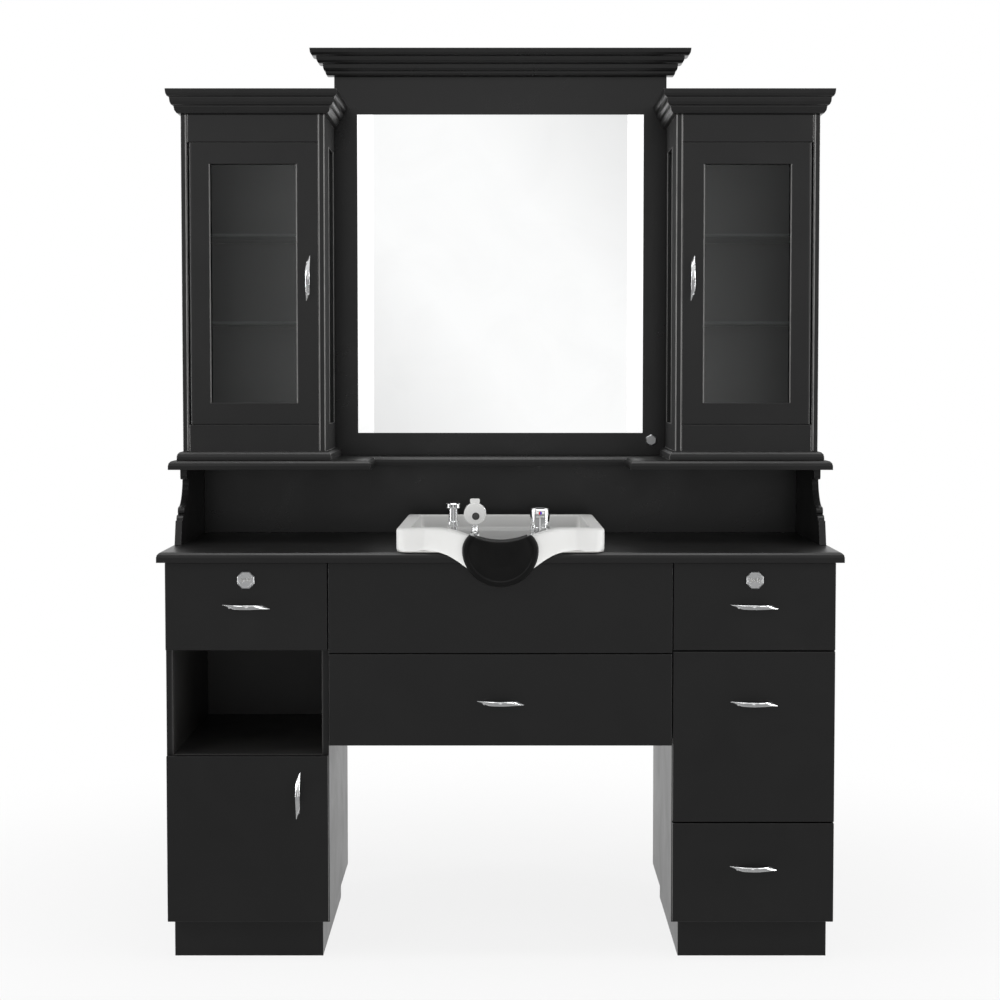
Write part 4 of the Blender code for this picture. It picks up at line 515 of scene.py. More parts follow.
drum_white = moulded("ivory_number_drum", 2400.0, 300.0, (0.55, 0.55, 0.53, 1), (0.44, 0.435, 0.42, 1),
                     Roughness=0.35)
drum_ink = moulded("black_number_ink", 3000.0, 700.0, (0.012, 0.012, 0.012, 1), (0.03, 0.03, 0.03, 1),
                   Roughness=0.5)
drum_spacing = 0.0078
drum_y = -0.2789
lock_z = 0.9022
print_radius = 0.0078
print_y = -0.28668
for name, lock_x in (("left_lock", -0.59375), ("right_lock", 0.59375)):
    wheels = ([], [])
    figures = ([], [])
    for shift in (-drum_spacing, 0.0, drum_spacing):
        centre = (lock_x + shift, drum_y, lock_z)
        add_turned(wheels, ((0.0077, -0.0020), (0.0077, 0.0020)), centre, "X", 40)
        text = bpy.data.curves.new("figure", "FONT")
        text.body = "3"
        text.size = 0.0072
        text.extrude = 0.00008
        text.align_x = "CENTER"
        text.align_y = "CENTER"
        letter = bpy.data.objects.new("figure", text)
        flat = bpy.data.meshes.new_from_object(letter)
        first = len(figures[0])
        for corner in flat.vertices:
            u, v, w = corner.co
            curl = print_radius - math.sqrt(print_radius ** 2 - min(abs(v), 0.007) ** 2)
            figures[0].append((centre[0] + u * 0.85, print_y - w + curl, centre[2] + v))
        for face in flat.polygons:
            figures[1].append([first + corner for corner in face.vertices])
        bpy.data.objects.remove(letter)
        bpy.data.meshes.remove(flat)
    shaped(name + "_drums", wheels, drum_white, name)
    shaped(name + "_figures", figures, drum_ink, name)


# Concealed hinges of the base door: zinc-plated cups pressed into the door and arms that clip on
# plates inside the pedestal, each with its fixing screws.
cup_x = -0.7457
door_back = -0.2623
arm_side = -0.7569
cups = ([], [])
places = []
for height in (0.1648, 0.4175):
    add_turned(cups, ((0.0179, 0.0002), (0.0179, 0.0038), (0.0171, 0.0044), (0.0130, 0.0044)),
               (cup_x, door_back, height), "Y", 40)
    add_block(cups, (-0.7632, arm_side), (-0.2622, -0.2171), (height - 0.0102, height + 0.0102))
    for shift in (-0.0062, 0.0062):
        places.append(((cup_x, -0.2579, height + shift), (0, 1, 0)))
    for y in (-0.2500, -0.2300):
        places.append(((arm_side, y, height), (1, 0, 0)))
shaped("base_door_hinges", cups, zinc, "base_door")
low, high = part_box("base_door_handle")
for reach in (-pull_reach, pull_reach):
    places.append((((low[0] + high[0]) / 2, door_back, (low[2] + high[2]) / 2 + reach), (0, 1, 0)))
repeated("base_door_screws", screw_head, places, zinc, "base_door", math.tau, 21)


# Wash bowl: vitreous china, slip cast in one piece and fired with a clear white glaze; the back wall of the
# basin is painted grey as painted shade. It drops into the counter's cut-out and its front lip hooks over the
# edge.
counter_top = 0.9680
counter_front = -0.3013
edge_round = 0.012
foot = 0.9683
ledge = 0.990
rim_top = 1.0245
rim_drop = 0.033
rim_round = 0.007
drain_y = 0.0587
front_points = 153


def lip_swell(x):
    return 0.5 + 0.5 * math.cos(math.pi * min(1.0, abs(x) / 0.2) ** 1.1)


def lip_face(x):
    return -0.2973 - 0.0520 * lip_swell(x)


def rim_dip(x):
    return (0.5 + 0.5 * math.cos(math.pi * min(1.0, abs(x) / 0.16) ** 1.1)) ** 1.4


def lip_under(x):
    over_edge = lip_face(x) + 0.0010 - counter_front
    if over_edge <= 0.0:
        counter = 0.0
    elif over_edge < edge_round:
        counter = counter_top - edge_round + math.sqrt(edge_round ** 2 - (edge_round - over_edge) ** 2)
    else:
        counter = counter_top
    return max(0.9723 - 0.0715 * lip_swell(x) ** 1.9, counter + 0.0003)


def plain_ring(half, back_half, front, back, radius, back_radius, z):
    ring = []
    corners = ((-half + radius, front + radius, radius, 180), (half - radius, front + radius, radius, 270),
               (back_half - back_radius, back - back_radius, back_radius, 0),
               (-back_half + back_radius, back - back_radius, back_radius, 90))
    between = (140, 30, 50, 30)
    for number, (x, y, turn, start) in enumerate(corners):
        for step in range(13):
            angle = math.radians(start + 90 * step / 12)
            ring.append((x + turn * math.cos(angle), y + turn * math.sin(angle), z))
        ahead_x, ahead_y, ahead_turn, ahead_start = corners[(number + 1) % 4]
        aim = math.radians(ahead_start)
        ahead_x += ahead_turn * math.cos(aim)
        ahead_y += ahead_turn * math.sin(aim)
        last_x, last_y, z = ring[-1]
        for step in range(1, between[number]):
            share = step / between[number]
            ring.append((last_x + (ahead_x - last_x) * share, last_y + (ahead_y - last_y) * share, z))
    return ring


def wall_ring(inset, z):
    ring = plain_ring(0.2425 - inset, 0.2365 - inset, -0.2993 + inset, 0.2187 - inset,
                      0.012 if inset > 0.03 else 0.022, 0.010, z)
    for number in range(front_points):
        x, y, height = ring[number]
        if height > ledge:
            share = rim_dip(x) * rim_drop / (rim_top - ledge)
            ring[number] = (x, y, ledge + (height - ledge) * (1 - share))
    return ring


def lip_ring(inset, z, reach, rise, from_rim):
    ring = wall_ring(inset, z)
    for number in range(front_points):
        x, y, height = ring[number]
        share = min(1.0, lip_swell(x) / 0.02)
        level = rim_top - rim_drop * rim_dip(x) if from_rim else lip_under(x)
        hooked_y = min(y, lip_face(x) + reach)
        ring[number] = (x, y + (hooked_y - y) * share, height + (level + rise - height) * share)
    return ring


def under_ring(z_share, inset):
    ring = wall_ring(inset, foot)
    for number in range(front_points):
        x, y, height = ring[number]
        low = lip_under(x)
        if low < foot:
            back_y = min(y, max(lip_face(x) + 0.007, -0.3028))
            ring[number] = (x, back_y, low + (foot - low) * z_share)
    return ring


def basin_ring(inset, z, radius):
    back_inset = inset - 0.62 * max(0.0, inset - 0.052)
    return plain_ring(0.2085 - inset, 0.2025 - inset, -0.2003 + inset, 0.1847 - back_inset, radius, radius, z)


def drain_ring(radius, z):
    ring = []
    for x, y, height in basin_ring(0.105, z, 0.060):
        angle = math.atan2(y - drain_y, x)
        ring.append((radius * math.cos(angle), drain_y + radius * math.sin(angle), z))
    return ring


rings = [under_ring(1.0, 0.007), under_ring(0.0, 0.006), lip_ring(0.004, foot, 0.0040, 0.0008, False),
         lip_ring(0.0015, 0.9710, 0.0012, 0.0032, False), lip_ring(0.0, 0.9763, 0.0, 0.0080, False)]
rings += [lip_ring(0.0, 0.9763 + 0.0412 * k / 6, 0.0, -0.0482 + 0.0412 * k / 6, True) for k in range(3, 7)]
quarter = [math.radians(15 * step) for step in range(7)]
for turn in quarter[1:]:
    inset = rim_round * (1 - math.cos(turn))
    drop = rim_round * (1 - math.sin(turn))
    rings.append(lip_ring(inset, rim_top - drop, inset, -drop, True))
rings.append(wall_ring(0.017, rim_top))
for turn in quarter:
    rings.append(wall_ring(0.0305 + 0.0035 * math.sin(turn), rim_top - 0.0035 * (1 - math.cos(turn))))
for turn in quarter[1:]:
    rings.append(wall_ring(0.034 + 0.009 * (1 - math.cos(turn)), 0.999 - 0.009 * math.sin(turn)))
for inset, depth, radius in ((0.026, 0.0, 0.050), (0.0285, 0.0006, 0.051), (0.0305, 0.0024, 0.0515),
                             (0.032, 0.006, 0.052), (0.035, 0.020, 0.054), (0.039, 0.040, 0.057),
                             (0.046, 0.070, 0.060), (0.052, 0.090, 0.064), (0.060, 0.107, 0.068),
                             (0.070, 0.119, 0.070), (0.085, 0.128, 0.066), (0.105, 0.134, 0.060)):
    rings.append(basin_ring(inset, ledge - depth, radius))
for radius, z in ((0.050, 0.8515), (0.044, 0.850), (0.028, 0.8497), (0.026, 0.848), (0.026, 0.838),
                  (0.048, 0.838)):
    rings.append(drain_ring(radius, z))
for inset, z, radius in ((0.098, 0.844, 0.066), (0.075, 0.854, 0.073), (0.060, 0.866, 0.078),
                         (0.036, 0.918, 0.068), (0.020, foot, 0.060)):
    rings.append(basin_ring(inset, z, radius))
china = ([], [])
add_skin(china, [point for ring in rings for point in ring], len(rings[0]), looped=True)

glaze, tree, surface, place = new_material("white_glazed_china_painted_shade", Specular_IOR_Level=0.0, Coat_Weight=0.25)
skin = skin_marks(tree, place, 55.0, 9.0)
white = mix_colour(tree, skin["Wipe"], (0.78, 0.78, 0.77, 1), (0.75, 0.75, 0.735, 1))
# painted shade: the back wall inside the basin, below the rim and between the side walls, is mixed to grey
spot = split(tree, place)
between = ranged(tree, maths(tree, "ABSOLUTE", spot["X"]), 0.190, 0.2025, 1.0, 0.0)
behind = maths(tree, "MULTIPLY", ranged(tree, spot["Y"], -0.19, -0.15, 0.0, 1.0), between)
low = ranged(tree, spot["Z"], 0.985, 1.024, 1.0, 0.0)
coloured(tree, surface, maths(tree, "MULTIPLY", behind, low), white, (0.48, 0.48, 0.475, 1))
bumped(tree, surface, skin["Peel"], 0.03, 0.0012)
china_bowl = shaped("china_bowl", china, glaze, "station", 70.0)
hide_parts("shampoo_bowl")


# Sealant: a bead of white silicone struck round the foot of the bowl, where it stands on the counter.
# It is smoothed with a wet finger and greys a little with use.
sealant = moulded("white_silicone", 260.0, 30.0, (0.62, 0.62, 0.60, 1), (0.50, 0.49, 0.465, 1),
                  texture=(0.2, 0.0006), Roughness=0.4, Specular_IOR_Level=0.4)
outlines = []
for corner_x, corner_y, start in ((-0.2162, -0.2730, 180), (0.2162, -0.2730, 270), (0.2102, 0.1924, 0),
                                  (-0.2102, 0.1924, 90)):
    for step in range(9):
        angle = math.radians(start + 90 * step / 8)
        for roll in range(8):
            lean = math.tau * roll / 8
            reach = 0.0225 + 0.0026 * math.cos(lean)
            outlines.append((corner_x + reach * math.cos(angle), corner_y + reach * math.sin(angle),
                             0.9703 + 0.0022 * math.sin(lean)))
bead = ([], [])
add_skin(bead, outlines, 8, looped=True)
shaped("bowl_sealant", bead, sealant, "station", 60.0)


# Neck rest: one moulded pad of soft black rubber with a raised border and a dished face, hooked over
# the bowl's lip. The mould leaves a fine matt texture.
rest_half = 0.0885
rest_level = 0.9764
rest_below = 0.0834
crest_half = 0.071


def neck_outline(x):
    side = math.sqrt(max(0.0, 1 - (x / rest_half) ** 2))
    low = rest_level - rest_below * side
    if abs(x) <= crest_half:
        return low, 0.9975 + 0.0155 * (x / crest_half) ** 2
    return low, rest_level + 0.0366 * side / math.sqrt(1 - (crest_half / rest_half) ** 2)


def pad_thickness(x, z, top):
    height = rest_below if z < rest_level else 0.0613
    inside = 0.080 * (1 - math.hypot(x / rest_half, (z - rest_level) / height))
    rim = min(1.0, max(0.0, inside) / 0.0045)
    crest = min(1.0, max(0.0, top - z) / 0.0045)
    rounded = 0.45 + 0.55 * math.sqrt(1 - (1 - rim) ** 2) * (0.35 + 0.65 * math.sqrt(1 - (1 - crest) ** 2))
    step = min(1.0, max(0.0, (inside - 0.0105) / 0.0030))
    dish = min(1.0, max(0.0, (inside - 0.0135) / 0.0300))
    step = step * step * (3 - 2 * step)
    return 0.0112 * rounded - 0.0026 * step - 0.0012 * dish


columns = 96
rows = 80
outlines = []
for column in range(columns + 1):
    x = rest_half * 0.9985 * math.sin(math.pi * (column / columns - 0.5))
    low, top = neck_outline(x)
    seat = lip_face(x) - 0.0010
    for row in range(rows + 1):
        share = 0.5 - 0.5 * math.cos(math.pi * row / rows)
        z = low + (top - low) * share
        outlines.append((x, seat - pad_thickness(x, z, top), z))
    outlines += [(x, seat, top), (x, seat, low)]
pad = ([], [])
add_skin(pad, outlines, rows + 3)
columns = 48
outlines = []
for column in range(columns + 1):
    x = 0.062 * (2 * column / columns - 1)
    under = rim_top - rim_drop * rim_dip(x) + 0.0010
    over = neck_outline(x)[1]
    front = lip_face(x) - 0.0033
    for y, z in ((front, over - 0.0006), (front, under), (-0.2653, under), (-0.2653, under + 0.0020),
                 (-0.2660, under + 0.0030), (-0.2700, over - 0.0012), (-0.2750, over - 0.0006)):
        outlines.append((x, y, z))
add_skin(pad, outlines, 7)

rubber, tree, surface, place = new_material("moulded_black_rubber", Specular_IOR_Level=0.16)
pores = add(tree, "ShaderNodeTexVoronoi", {}, {"Vector": place, "Scale": 1500.0})
skin = skin_marks(tree, place, 300.0, 28.0)
coloured(tree, surface, skin["Wipe"], (0.0030, 0.0030, 0.0030, 1), (0.0042, 0.0041, 0.0040, 1))
roughened(tree, surface, skin["Wipe"], 0.36, 0.46)
bumped(tree, surface, pores.outputs["Distance"], 0.08, 0.0003)
neck_pad = shaped("neck_pad", pad, rubber, "station", 50.0)
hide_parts("neck_rest")


# Waste: a white plastic trap with its union nuts under the bowl, moulded in parts and pushed together.
# Dust settles on its upper sides.
def smooth_curves(name, angle):
    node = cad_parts[name]
    weld = node.modifiers.new("weld", "WELD")
    weld.merge_threshold = 0.00001
    tree = bpy.data.node_groups.get("smooth_below_angle")
    if tree is None:
        tree = bpy.data.node_groups.new("smooth_below_angle", "GeometryNodeTree")
        tree.interface.new_socket("Shape", in_out="INPUT", socket_type="NodeSocketGeometry")
        tree.interface.new_socket("Angle", in_out="INPUT", socket_type="NodeSocketFloat")
        tree.interface.new_socket("Shape", in_out="OUTPUT", socket_type="NodeSocketGeometry")
        entry = tree.nodes.new("NodeGroupInput").outputs
        result = tree.nodes.new("NodeGroupOutput").inputs
        bend = tree.nodes.new("GeometryNodeInputMeshEdgeAngle")
        sharp = add(tree, "FunctionNodeCompare", {"data_type": "FLOAT", "operation": "GREATER_THAN"},
                    {0: bend.outputs["Unsigned Angle"], 1: entry["Angle"]})
        soft = add(tree, "GeometryNodeSetShadeSmooth", {"domain": "FACE"}, {0: entry["Shape"]})
        crisp = add(tree, "GeometryNodeSetShadeSmooth", {"domain": "EDGE"},
                    {0: soft.outputs[0], "Selection": sharp.outputs[0], "Shade Smooth": False})
        tree.links.new(crisp.outputs[0], result[0])
    shade = node.modifiers.new("smooth_below_angle", "NODES")
    shade.node_group = tree
    for item in tree.interface.items_tree:
        if item.name == "Angle":
            shade[item.identifier] = math.radians(angle)


pipework, tree, surface, place = new_material("white_trap_plastic", Specular_IOR_Level=0.4)
skin = skin_marks(tree, place, 240.0, 18.0)
plastic = mix_colour(tree, skin["Wipe"], (0.72, 0.72, 0.70, 1), (0.66, 0.655, 0.63, 1))
coloured(tree, surface, faint(tree, dust_on(tree, place, 70.0), 0.4), plastic, (0.42, 0.41, 0.39, 1))
roughened(tree, surface, skin["Wipe"], 0.34, 0.46)
bumped(tree, surface, skin["Peel"], 0.05, 0.0005)
coat(("bowl_waste",), pipework)
smooth_curves("bowl_waste", 40.0)


# Strainer and union nuts: a pressed chrome plate with round holes over the waste, and moulded grip ribs on
# the plastic nut below the bowl.
def ring_places(centre, radius, count, start=0.0, facing=None):
    places = []
    for k in range(count):
        angle = math.tau * (k + start) / count
        u = math.cos(angle)
        v = math.sin(angle)
        places.append(((centre[0] + radius * u, centre[1] + radius * v, centre[2]), facing or (u, v, 0)))
    return places


strainer = ([], [])
add_turned(strainer, ((0.0335, 0.0), (0.0335, 0.0010), (0.0315, 0.0018), (0.0290, 0.0010), (0.0050, 0.0008),
                      (0.0042, 0.0022), (0.0020, 0.0028)), (0.0, drain_y, 0.8534), "Z", 64)
shaped("waste_strainer", strainer, chrome, "station", 30.0)
pit = ([], [])
add_turned(pit, ((0.0019, -0.0004), (0.0019, 0.0002), (0.0014, 0.0003)), (0.0, 0.0, 0.0), "Z", 16)
places = []
for radius, holes in ((0.0100, 6), (0.0165, 12), (0.0230, 18)):
    places += ring_places((0.0, drain_y, 0.8543), radius, holes, facing=(0, 0, 1))
# painted shade: near-black pits, slots and nibs stand in for the shade of holes that are not cut
painted_hole_shade = moulded("painted_hole_shade", 900.0, 200.0, (0.006, 0.006, 0.006, 1), (0.014, 0.013, 0.012, 1),
                    Roughness=0.6, Specular_IOR_Level=0.1)
hole = shaded_mesh("strainer_hole", pit, 30.0)
repeated("strainer_holes", hole, places, painted_hole_shade, "station")
rib = ([], [])
add_block(rib, (-0.0011, 0.0011), (-0.0050, 0.0050), (-0.0006, 0.0012))
places = ring_places((0.0, drain_y, 0.8317), 0.0360, 28)
repeated("waste_nut_ribs", shaded_mesh("nut_rib", rib), places, pipework, "station")


# Taps: a lever mixer and a vacuum breaker in polished chrome on the bowl's deck, and between them a
# white pull-out spray with a press tab on top.
spray_white = moulded("white_spray_plastic", 600.0, 40.0, (0.90, 0.90, 0.89, 1), (0.85, 0.848, 0.835, 1),
                      (0.22, 0.32), (0.04, 0.0003), Specular_IOR_Level=0.5)
chrome_taps = ("mixer_body", "mixer_turret", "mixer_lever", "vacuum_breaker")
white_taps = ("sprayer", "spray_trigger")
coat(chrome_taps, chrome)
coat(white_taps, spray_white)
for name in chrome_taps + white_taps:
    smooth_curves(name, 35.0)


# Tap trim: a knurled grip ring on the mixer, a red and blue enamel dot on the lever's tip, vent slots in
# the breaker's cap, and a chrome ferrule and trim ring on the spray.
mixer_x = 0.0931
breaker_x = -0.1110
spray_x = -0.0600
taps_y = -0.2153
rib = ([], [])
add_block(rib, (-0.0005, 0.0005), (-0.0042, 0.0042), (-0.0004, 0.0005))
places = ring_places((mixer_x, taps_y, 1.0163), 0.0235, 48)
repeated("mixer_knurl", shaded_mesh("knurl_rib", rib), places, chrome, "station")

enamel, tree, surface, place = new_material("red_blue_enamel", Roughness=0.25)
half = ranged(tree, split(tree, place)["X"], 0.0930, 0.0932, 0.0, 1.0)
vivid = mix_colour(tree, half, (0.75, 0.012, 0.008, 1), (0.010, 0.020, 0.62, 1))
wipe = skin_marks(tree, place, 2200.0, 260.0)["Wipe"]
coloured(tree, surface, faint(tree, wipe, 0.15), vivid, (0.3, 0.3, 0.3, 1))
dot = ([], [])
add_turned(dot, ((0.0040, 0.0004), (0.0040, -0.0002), (0.0032, -0.0006), (0.0012, -0.0009)),
           (mixer_x, -0.2653, 1.0576), "Y", 40)
shaped("lever_dot", dot, enamel, "mixer_lever", 50.0)

# painted shade: the vent slots are near-black blocks on the breaker's cap, not cut openings
vent = ([], [])
add_block(vent, (-0.0008, 0.0008), (-0.0026, 0.0026), (-0.0006, 0.0002))
places = ring_places((breaker_x, taps_y, 1.0723), 0.0168, 16, 0.5)
repeated("breaker_vents", shaded_mesh("vent_slot", vent), places, painted_hole_shade, "station")

ferrule = ([], [])
add_turned(ferrule, ((0.0078, 1.0112), (0.0080, 1.0120), (0.0080, 1.0142), (0.0073, 1.0152), (0.0073, 1.0262),
                     (0.0084, 1.0274), (0.0084, 1.0296), (0.0078, 1.0306)), (spray_x, taps_y, 0.0), "Z", 32)
trim = []
for step in range(13):
    angle = math.tau * step / 12
    trim.append((0.0249 + 0.0015 * math.cos(angle), 0.0015 * math.sin(angle)))
add_turned(ferrule, trim, (spray_x, -0.2110, 1.0530), "Y", 64)
shaped("spray_ferrule", ferrule, chrome, "sprayer")


# Spray rose: a dark grey rubber insert in the spray's face, with soft nibs that the jets leave by.
# The insert is pressed in, with a raised lip round a paler middle.
rose_x = -0.0580
rose_z = 1.0478
rose_rubber, tree, surface, place = new_material("grey_rose_rubber", Roughness=0.5, Specular_IOR_Level=0.3)
away = vector_maths(tree, "DISTANCE", place, (rose_x, -0.2270, rose_z))
skin = skin_marks(tree, place, 1500.0, 250.0)
grey = mix_colour(tree, ranged(tree, away, 0.0058, 0.0066, 0.0, 1.0), (0.10, 0.10, 0.10, 1),
                  (0.022, 0.022, 0.022, 1))
coloured(tree, surface, faint(tree, skin["Wipe"], 0.2), grey, (0.14, 0.14, 0.13, 1))
bumped(tree, surface, skin["Peel"], 0.08, 0.0002)
rose = ([], [])
add_turned(rose, ((0.0087, 0.0006), (0.0087, -0.0004), (0.0080, -0.0008), (0.0068, -0.0008),
                  (0.0062, -0.0003), (0.0010, -0.0002)), (rose_x, -0.2266, rose_z), "Y", 48)
shaped("spray_rose", rose, rose_rubber, "sprayer", 30.0)
# painted shade: the nibs take the near-black hole colour, standing in for the shade of the jet holes
nib = ([], [])
add_turned(nib, ((0.0006, -0.0002), (0.0005, 0.0005), (0.0002, 0.0006)), (0.0, 0.0, 0.0), "Z", 10)
places = []
for radius, nibs in ((0.0, 1), (0.0024, 6), (0.0046, 12)):
    for k in range(nibs):
        angle = math.tau * k / nibs
        spot = (rose_x + radius * math.cos(angle), -0.2269, rose_z + radius * math.sin(angle))
        places.append((spot, (0, -1, 0)))
repeated("spray_nibs", shaded_mesh("rose_nib", nib, 30.0), places, painted_hole_shade, "sprayer")


# Case glass: 4 mm float panes set in the doors and inner sides. Shadows and soft light pass straight
# through the panes, a little dimmed.
pane, tree, surface, place = new_material("clear_float_glass", Transmission_Weight=1.0, IOR=1.45)
marks = handled(tree, place, 14.0, 300.0)
coloured(tree, surface, marks["Smear"], (0.89, 0.91, 0.90, 1), (0.86, 0.885, 0.875, 1))
roughened(tree, surface, marks["Smear"], 0.0, 0.03)
ray = tree.nodes.new("ShaderNodeLightPath").outputs
lit = maths(tree, "MAXIMUM", ray["Is Shadow Ray"], ray["Is Diffuse Ray"])
through = add(tree, "ShaderNodeBsdfTransparent", {}, {"Color": (0.67, 0.69, 0.68, 1)})
blend = add(tree, "ShaderNodeMixShader", {}, {0: lit, 1: surface.outputs["BSDF"], 2: through.outputs["BSDF"]})
tree.links.new(blend.outputs[0], tree.nodes["Material Output"].inputs["Surface"])
coat(("left_door_glass", "right_door_glass", "left_side_glass", "right_side_glass"), pane)


# Glass shelves: two 6 mm grey-tinted plates a case, their edges ground and polished, laid on the shelf
# pins of the case. Their edges are painted a lighter grey as a painted highlight.
shelf_glass, tree, surface, place = new_material("grey_shelf_glass", Transmission_Weight=0.4,
                                                 Specular_IOR_Level=0.2)
marks = handled(tree, place, 11.0, 260.0)
smeared = mix_colour(tree, marks["Smear"], (0.020, 0.025, 0.023, 1), (0.028, 0.033, 0.031, 1))
# painted highlight: the plates' edges are mixed to a light grey
coloured(tree, surface, edge_marks(tree, 0.0008)["Edge"], smeared, (0.20, 0.23, 0.22, 1))
roughened(tree, surface, marks["Smear"], 0.28, 0.36)
coat(("left_shelf_lower", "left_shelf_upper", "right_shelf_lower", "right_shelf_upper"), shelf_glass)


# Glazing and corner beads: slim half-round beads along the corner posts, the door openings and the side
# windows, coloured light grey as painted highlight lines along those edges.
# painted highlight: the beads' light grey stands in for bright lines along the edges
bead_highlight_grey = moulded("bead_painted_highlight_grey", 500.0, 14.0, (0.200, 0.198, 0.195, 1), (0.140, 0.138, 0.135, 1),
                 texture=(0.05, 0.0004), Roughness=0.4, Specular_IOR_Level=0.4)


def add_bead(shape, spot, outward, width, z_range):
    outlines = []
    for z in z_range:
        for step in range(7):
            angle = math.pi * step / 6
            side = 0.5 * width * math.cos(angle)
            out = 0.4 * width * math.sin(angle)
            outlines.append((spot[0] - outward[1] * side + outward[0] * out,
                             spot[1] + outward[0] * side + outward[1] * out, z))
    add_skin(shape, outlines, 7)


post_lines = (0.7690, 0.4438, 0.4312)
post_face = 0.0205
door_face = 0.0222
window_face = 0.4298
end_inset = 0.0085
corner_beads = ([], [])
for side, word in ((-1, "left"), (1, "right")):
    case_low, case_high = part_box(word + "_case")
    post_run = (case_low[2] + 0.0230, case_high[2] - 0.0005)
    for x in post_lines:
        add_bead(corner_beads, (side * x, post_face), (0, -1), 0.0028, post_run)
    glass_low, glass_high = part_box(word + "_side_glass")
    glass_run = (glass_low[2] + end_inset, glass_high[2] - end_inset)
    for y in (glass_low[1] + 0.0090, glass_high[1] - 0.0090):
        add_bead(corner_beads, (side * window_face, y), (-side, 0), 0.0030, glass_run)
    door_highlight_beads = ([], [])
    pane_low, pane_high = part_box(word + "_door_glass")
    pane_run = (pane_low[2] + end_inset, pane_high[2] - end_inset)
    for x in (pane_low[0] + 0.0086, pane_high[0] - 0.0086):
        add_bead(door_highlight_beads, (x, door_face), (0, -1), 0.0024, pane_run)
    shaped(word + "_door_beads", door_highlight_beads, bead_highlight_grey, word + "_door", 60.0)
shaped("corner_beads", corner_beads, bead_highlight_grey, "station", 60.0)


# Mirror: 4.5 mm silvered glass in a pocket of the board, between two lit strips. Wiping leaves it a
# shade duller in places.
silvered, tree, surface, place = new_material("silvered_mirror", Metallic=1.0, Roughness=0.015)
smear = handled(tree, place, 5.0, 120.0)["Smear"]
coloured(tree, surface, smear, (0.975, 0.98, 0.98, 1), (0.955, 0.96, 0.96, 1))
coat(("mirror_glass",), silvered)


# Light strips: opal acrylic covers over rows of white diodes, let into the board beside the mirror.
# The covers glow evenly, with a slight mottle.
opal, tree, surface, place = new_material("lit_opal_acrylic", Roughness=0.35, Emission_Strength=0.75)
skin = skin_marks(tree, place, 160.0, 6.0)
coloured(tree, surface, skin["Wipe"], (0.86, 0.86, 0.86, 1), (0.83, 0.83, 0.83, 1))
tree.links.new(mix_colour(tree, skin["Peel"], (1.0, 1.0, 0.99, 1), (0.96, 0.965, 0.97, 1)),
               surface.inputs["Emission Color"])
coat(("left_light", "right_light"), opal)


# Light switch: a six-lobed dimmer knob on the mirror board, turned in zinc and satin-brushed like the
# drawer locks.
coat(("light_knob",), satin)
smooth_curves("light_knob", 35.0)


# Studio: a plain white floor that fades into the surround, soft lamps in front and overhead, a tall
# strip lamp at each side, and a white surround with a bright screen behind the camera for the mirror.
floor = bpy.data.meshes.new("studio_floor")
floor.from_pydata([(-4, -4, 0), (4, -4, 0), (4, 4, 0), (-4, 4, 0)], [], [(0, 1, 2, 3)])
studio_floor = bpy.data.objects.new("studio_floor", floor)
bpy.context.collection.objects.link(studio_floor)
floor_paint, tree, surface, place = new_material("pale_floor_paint", Roughness=0.9, Specular_IOR_Level=0.1)
coloured(tree, surface, noise(tree, place, 3.0), (0.93, 0.93, 0.93, 1), (0.94, 0.94, 0.94, 1))
fade = add(tree, "ShaderNodeMapRange", {"interpolation_type": "SMOOTHSTEP"},
           {0: vector_maths(tree, "LENGTH", place), 1: 0.7, 2: 2.6, 3: 0.14, 4: 0.0})
tree.links.new(fade.outputs[0], surface.inputs["Alpha"])
floor.materials.append(floor_paint)

lamps = (("key_lamp", (-3.6, -4.0, 3.8), (0.0, 0.0, 1.0), 2.6, 2.6, 42.0),
         ("fill_lamp", (3.8, -4.0, 3.0), (0.0, 0.0, 1.1), 2.4, 2.4, 34.0),
         ("top_lamp", (0.0, -0.3, 4.4), (0.0, 0.0, 0.0), 2.6, 1.6, 46.0),
         ("left_strip", (-3.0, -0.7, 1.4), (0.0, -0.1, 1.3), 0.5, 2.8, 38.0),
         ("right_strip", (3.0, -0.7, 1.4), (0.0, -0.1, 1.3), 0.5, 2.8, 38.0))
for name, where, aim, width, height, power in lamps:
    lamp = bpy.data.lights.new(name, "AREA")
    lamp.shape = "RECTANGLE"
    lamp.size = width
    lamp.size_y = height
    lamp.energy = power
    holder = bpy.data.objects.new(name, lamp)
    holder.location = where
    holder.rotation_euler = (Vector(aim) - Vector(where)).to_track_quat("-Z", "Y").to_euler()
    bpy.context.collection.objects.link(holder)

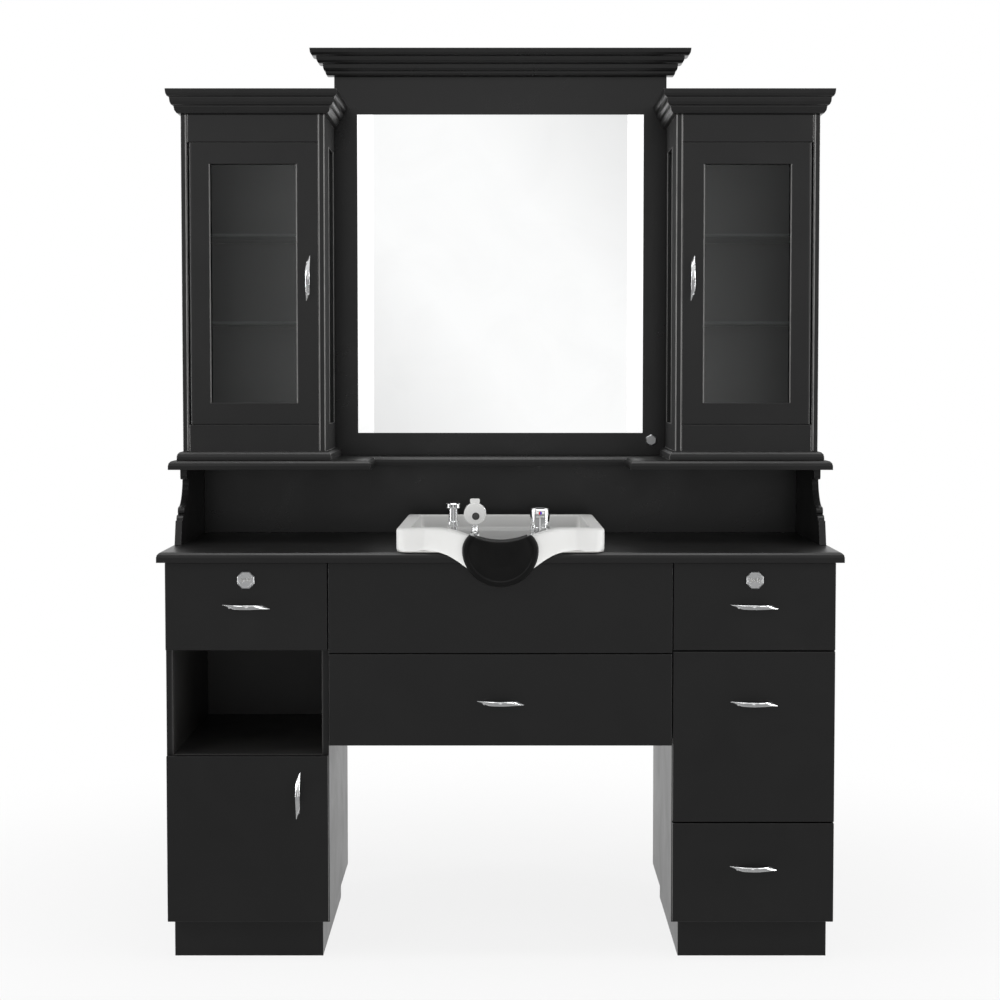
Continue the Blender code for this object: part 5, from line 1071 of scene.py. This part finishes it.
world = bpy.data.worlds.new("white_surround")
bpy.context.scene.world = world
world.use_nodes = True
tree = world.node_tree
tree.nodes.clear()
ray = tree.nodes.new("ShaderNodeLightPath").outputs
direction = tree.nodes.new("ShaderNodeTexCoord").outputs["Generated"]
towards = split(tree, direction)
raised = maths(tree, "ABSOLUTE", maths(tree, "SUBTRACT", towards["Z"], 0.045))
across = ranged(tree, maths(tree, "ABSOLUTE", towards["X"]), 0.072, 0.135, 1.0, 0.0)
along = ranged(tree, raised, 0.10, 0.20, 1.0, 0.0)
slant = maths(tree, "SUBTRACT", vector_maths(tree, "DOT_PRODUCT", direction, (8.8, 0.0, 7.0)), 0.31)
sheen = ranged(tree, maths(tree, "ABSOLUTE", slant), 0.25, 1.0, 1.03, 0.74)
screen = maths(tree, "MULTIPLY", maths(tree, "MULTIPLY", across, along), sheen)
behind = ranged(tree, towards["Y"], -0.25, 0.25, 0.0, 1.0)
bright = maths(tree, "MAXIMUM", screen, behind)
overhead = ranged(tree, towards["Z"], 0.05, 0.6, 0.285, 0.75)
mirrored = ranged(tree, bright, 0.0, 1.0, overhead, 1.0)
seen = maths(tree, "MAXIMUM", ray["Is Camera Ray"], ray["Is Transmission Ray"])
lowered = ranged(tree, towards["Z"], -0.5, 0.25, 1.7, 0.16)
ahead = ranged(tree, towards["Y"], -0.5, 0.3, 1.0, 0.35)
unlit = ranged(tree, seen, 0.0, 1.0, maths(tree, "MULTIPLY", lowered, ahead), 1.0)
level = add(tree, "ShaderNodeMix", {}, {0: ray["Is Glossy Ray"], 2: unlit, 3: mirrored})
surround = add(tree, "ShaderNodeBackground", {}, {"Color": (1, 1, 1, 1), "Strength": level.outputs[0]})
final = tree.nodes.new("ShaderNodeOutputWorld")
tree.links.new(surround.outputs[0], final.inputs["Surface"])

camera = bpy.data.cameras.new("photo_camera")
camera.sensor_width = 36.0
camera.lens = 79.6
camera.shift_x = -0.0004
viewer = bpy.data.objects.new("photo_camera", camera)
viewer.location = (0.0, -5.4198, 1.3828)
viewer.rotation_euler = (math.radians(90.0 - 3.269), 0.0, 0.0)
bpy.context.collection.objects.link(viewer)
bpy.context.scene.camera = viewer
bpy.context.scene.view_settings.view_transform = "Standard"
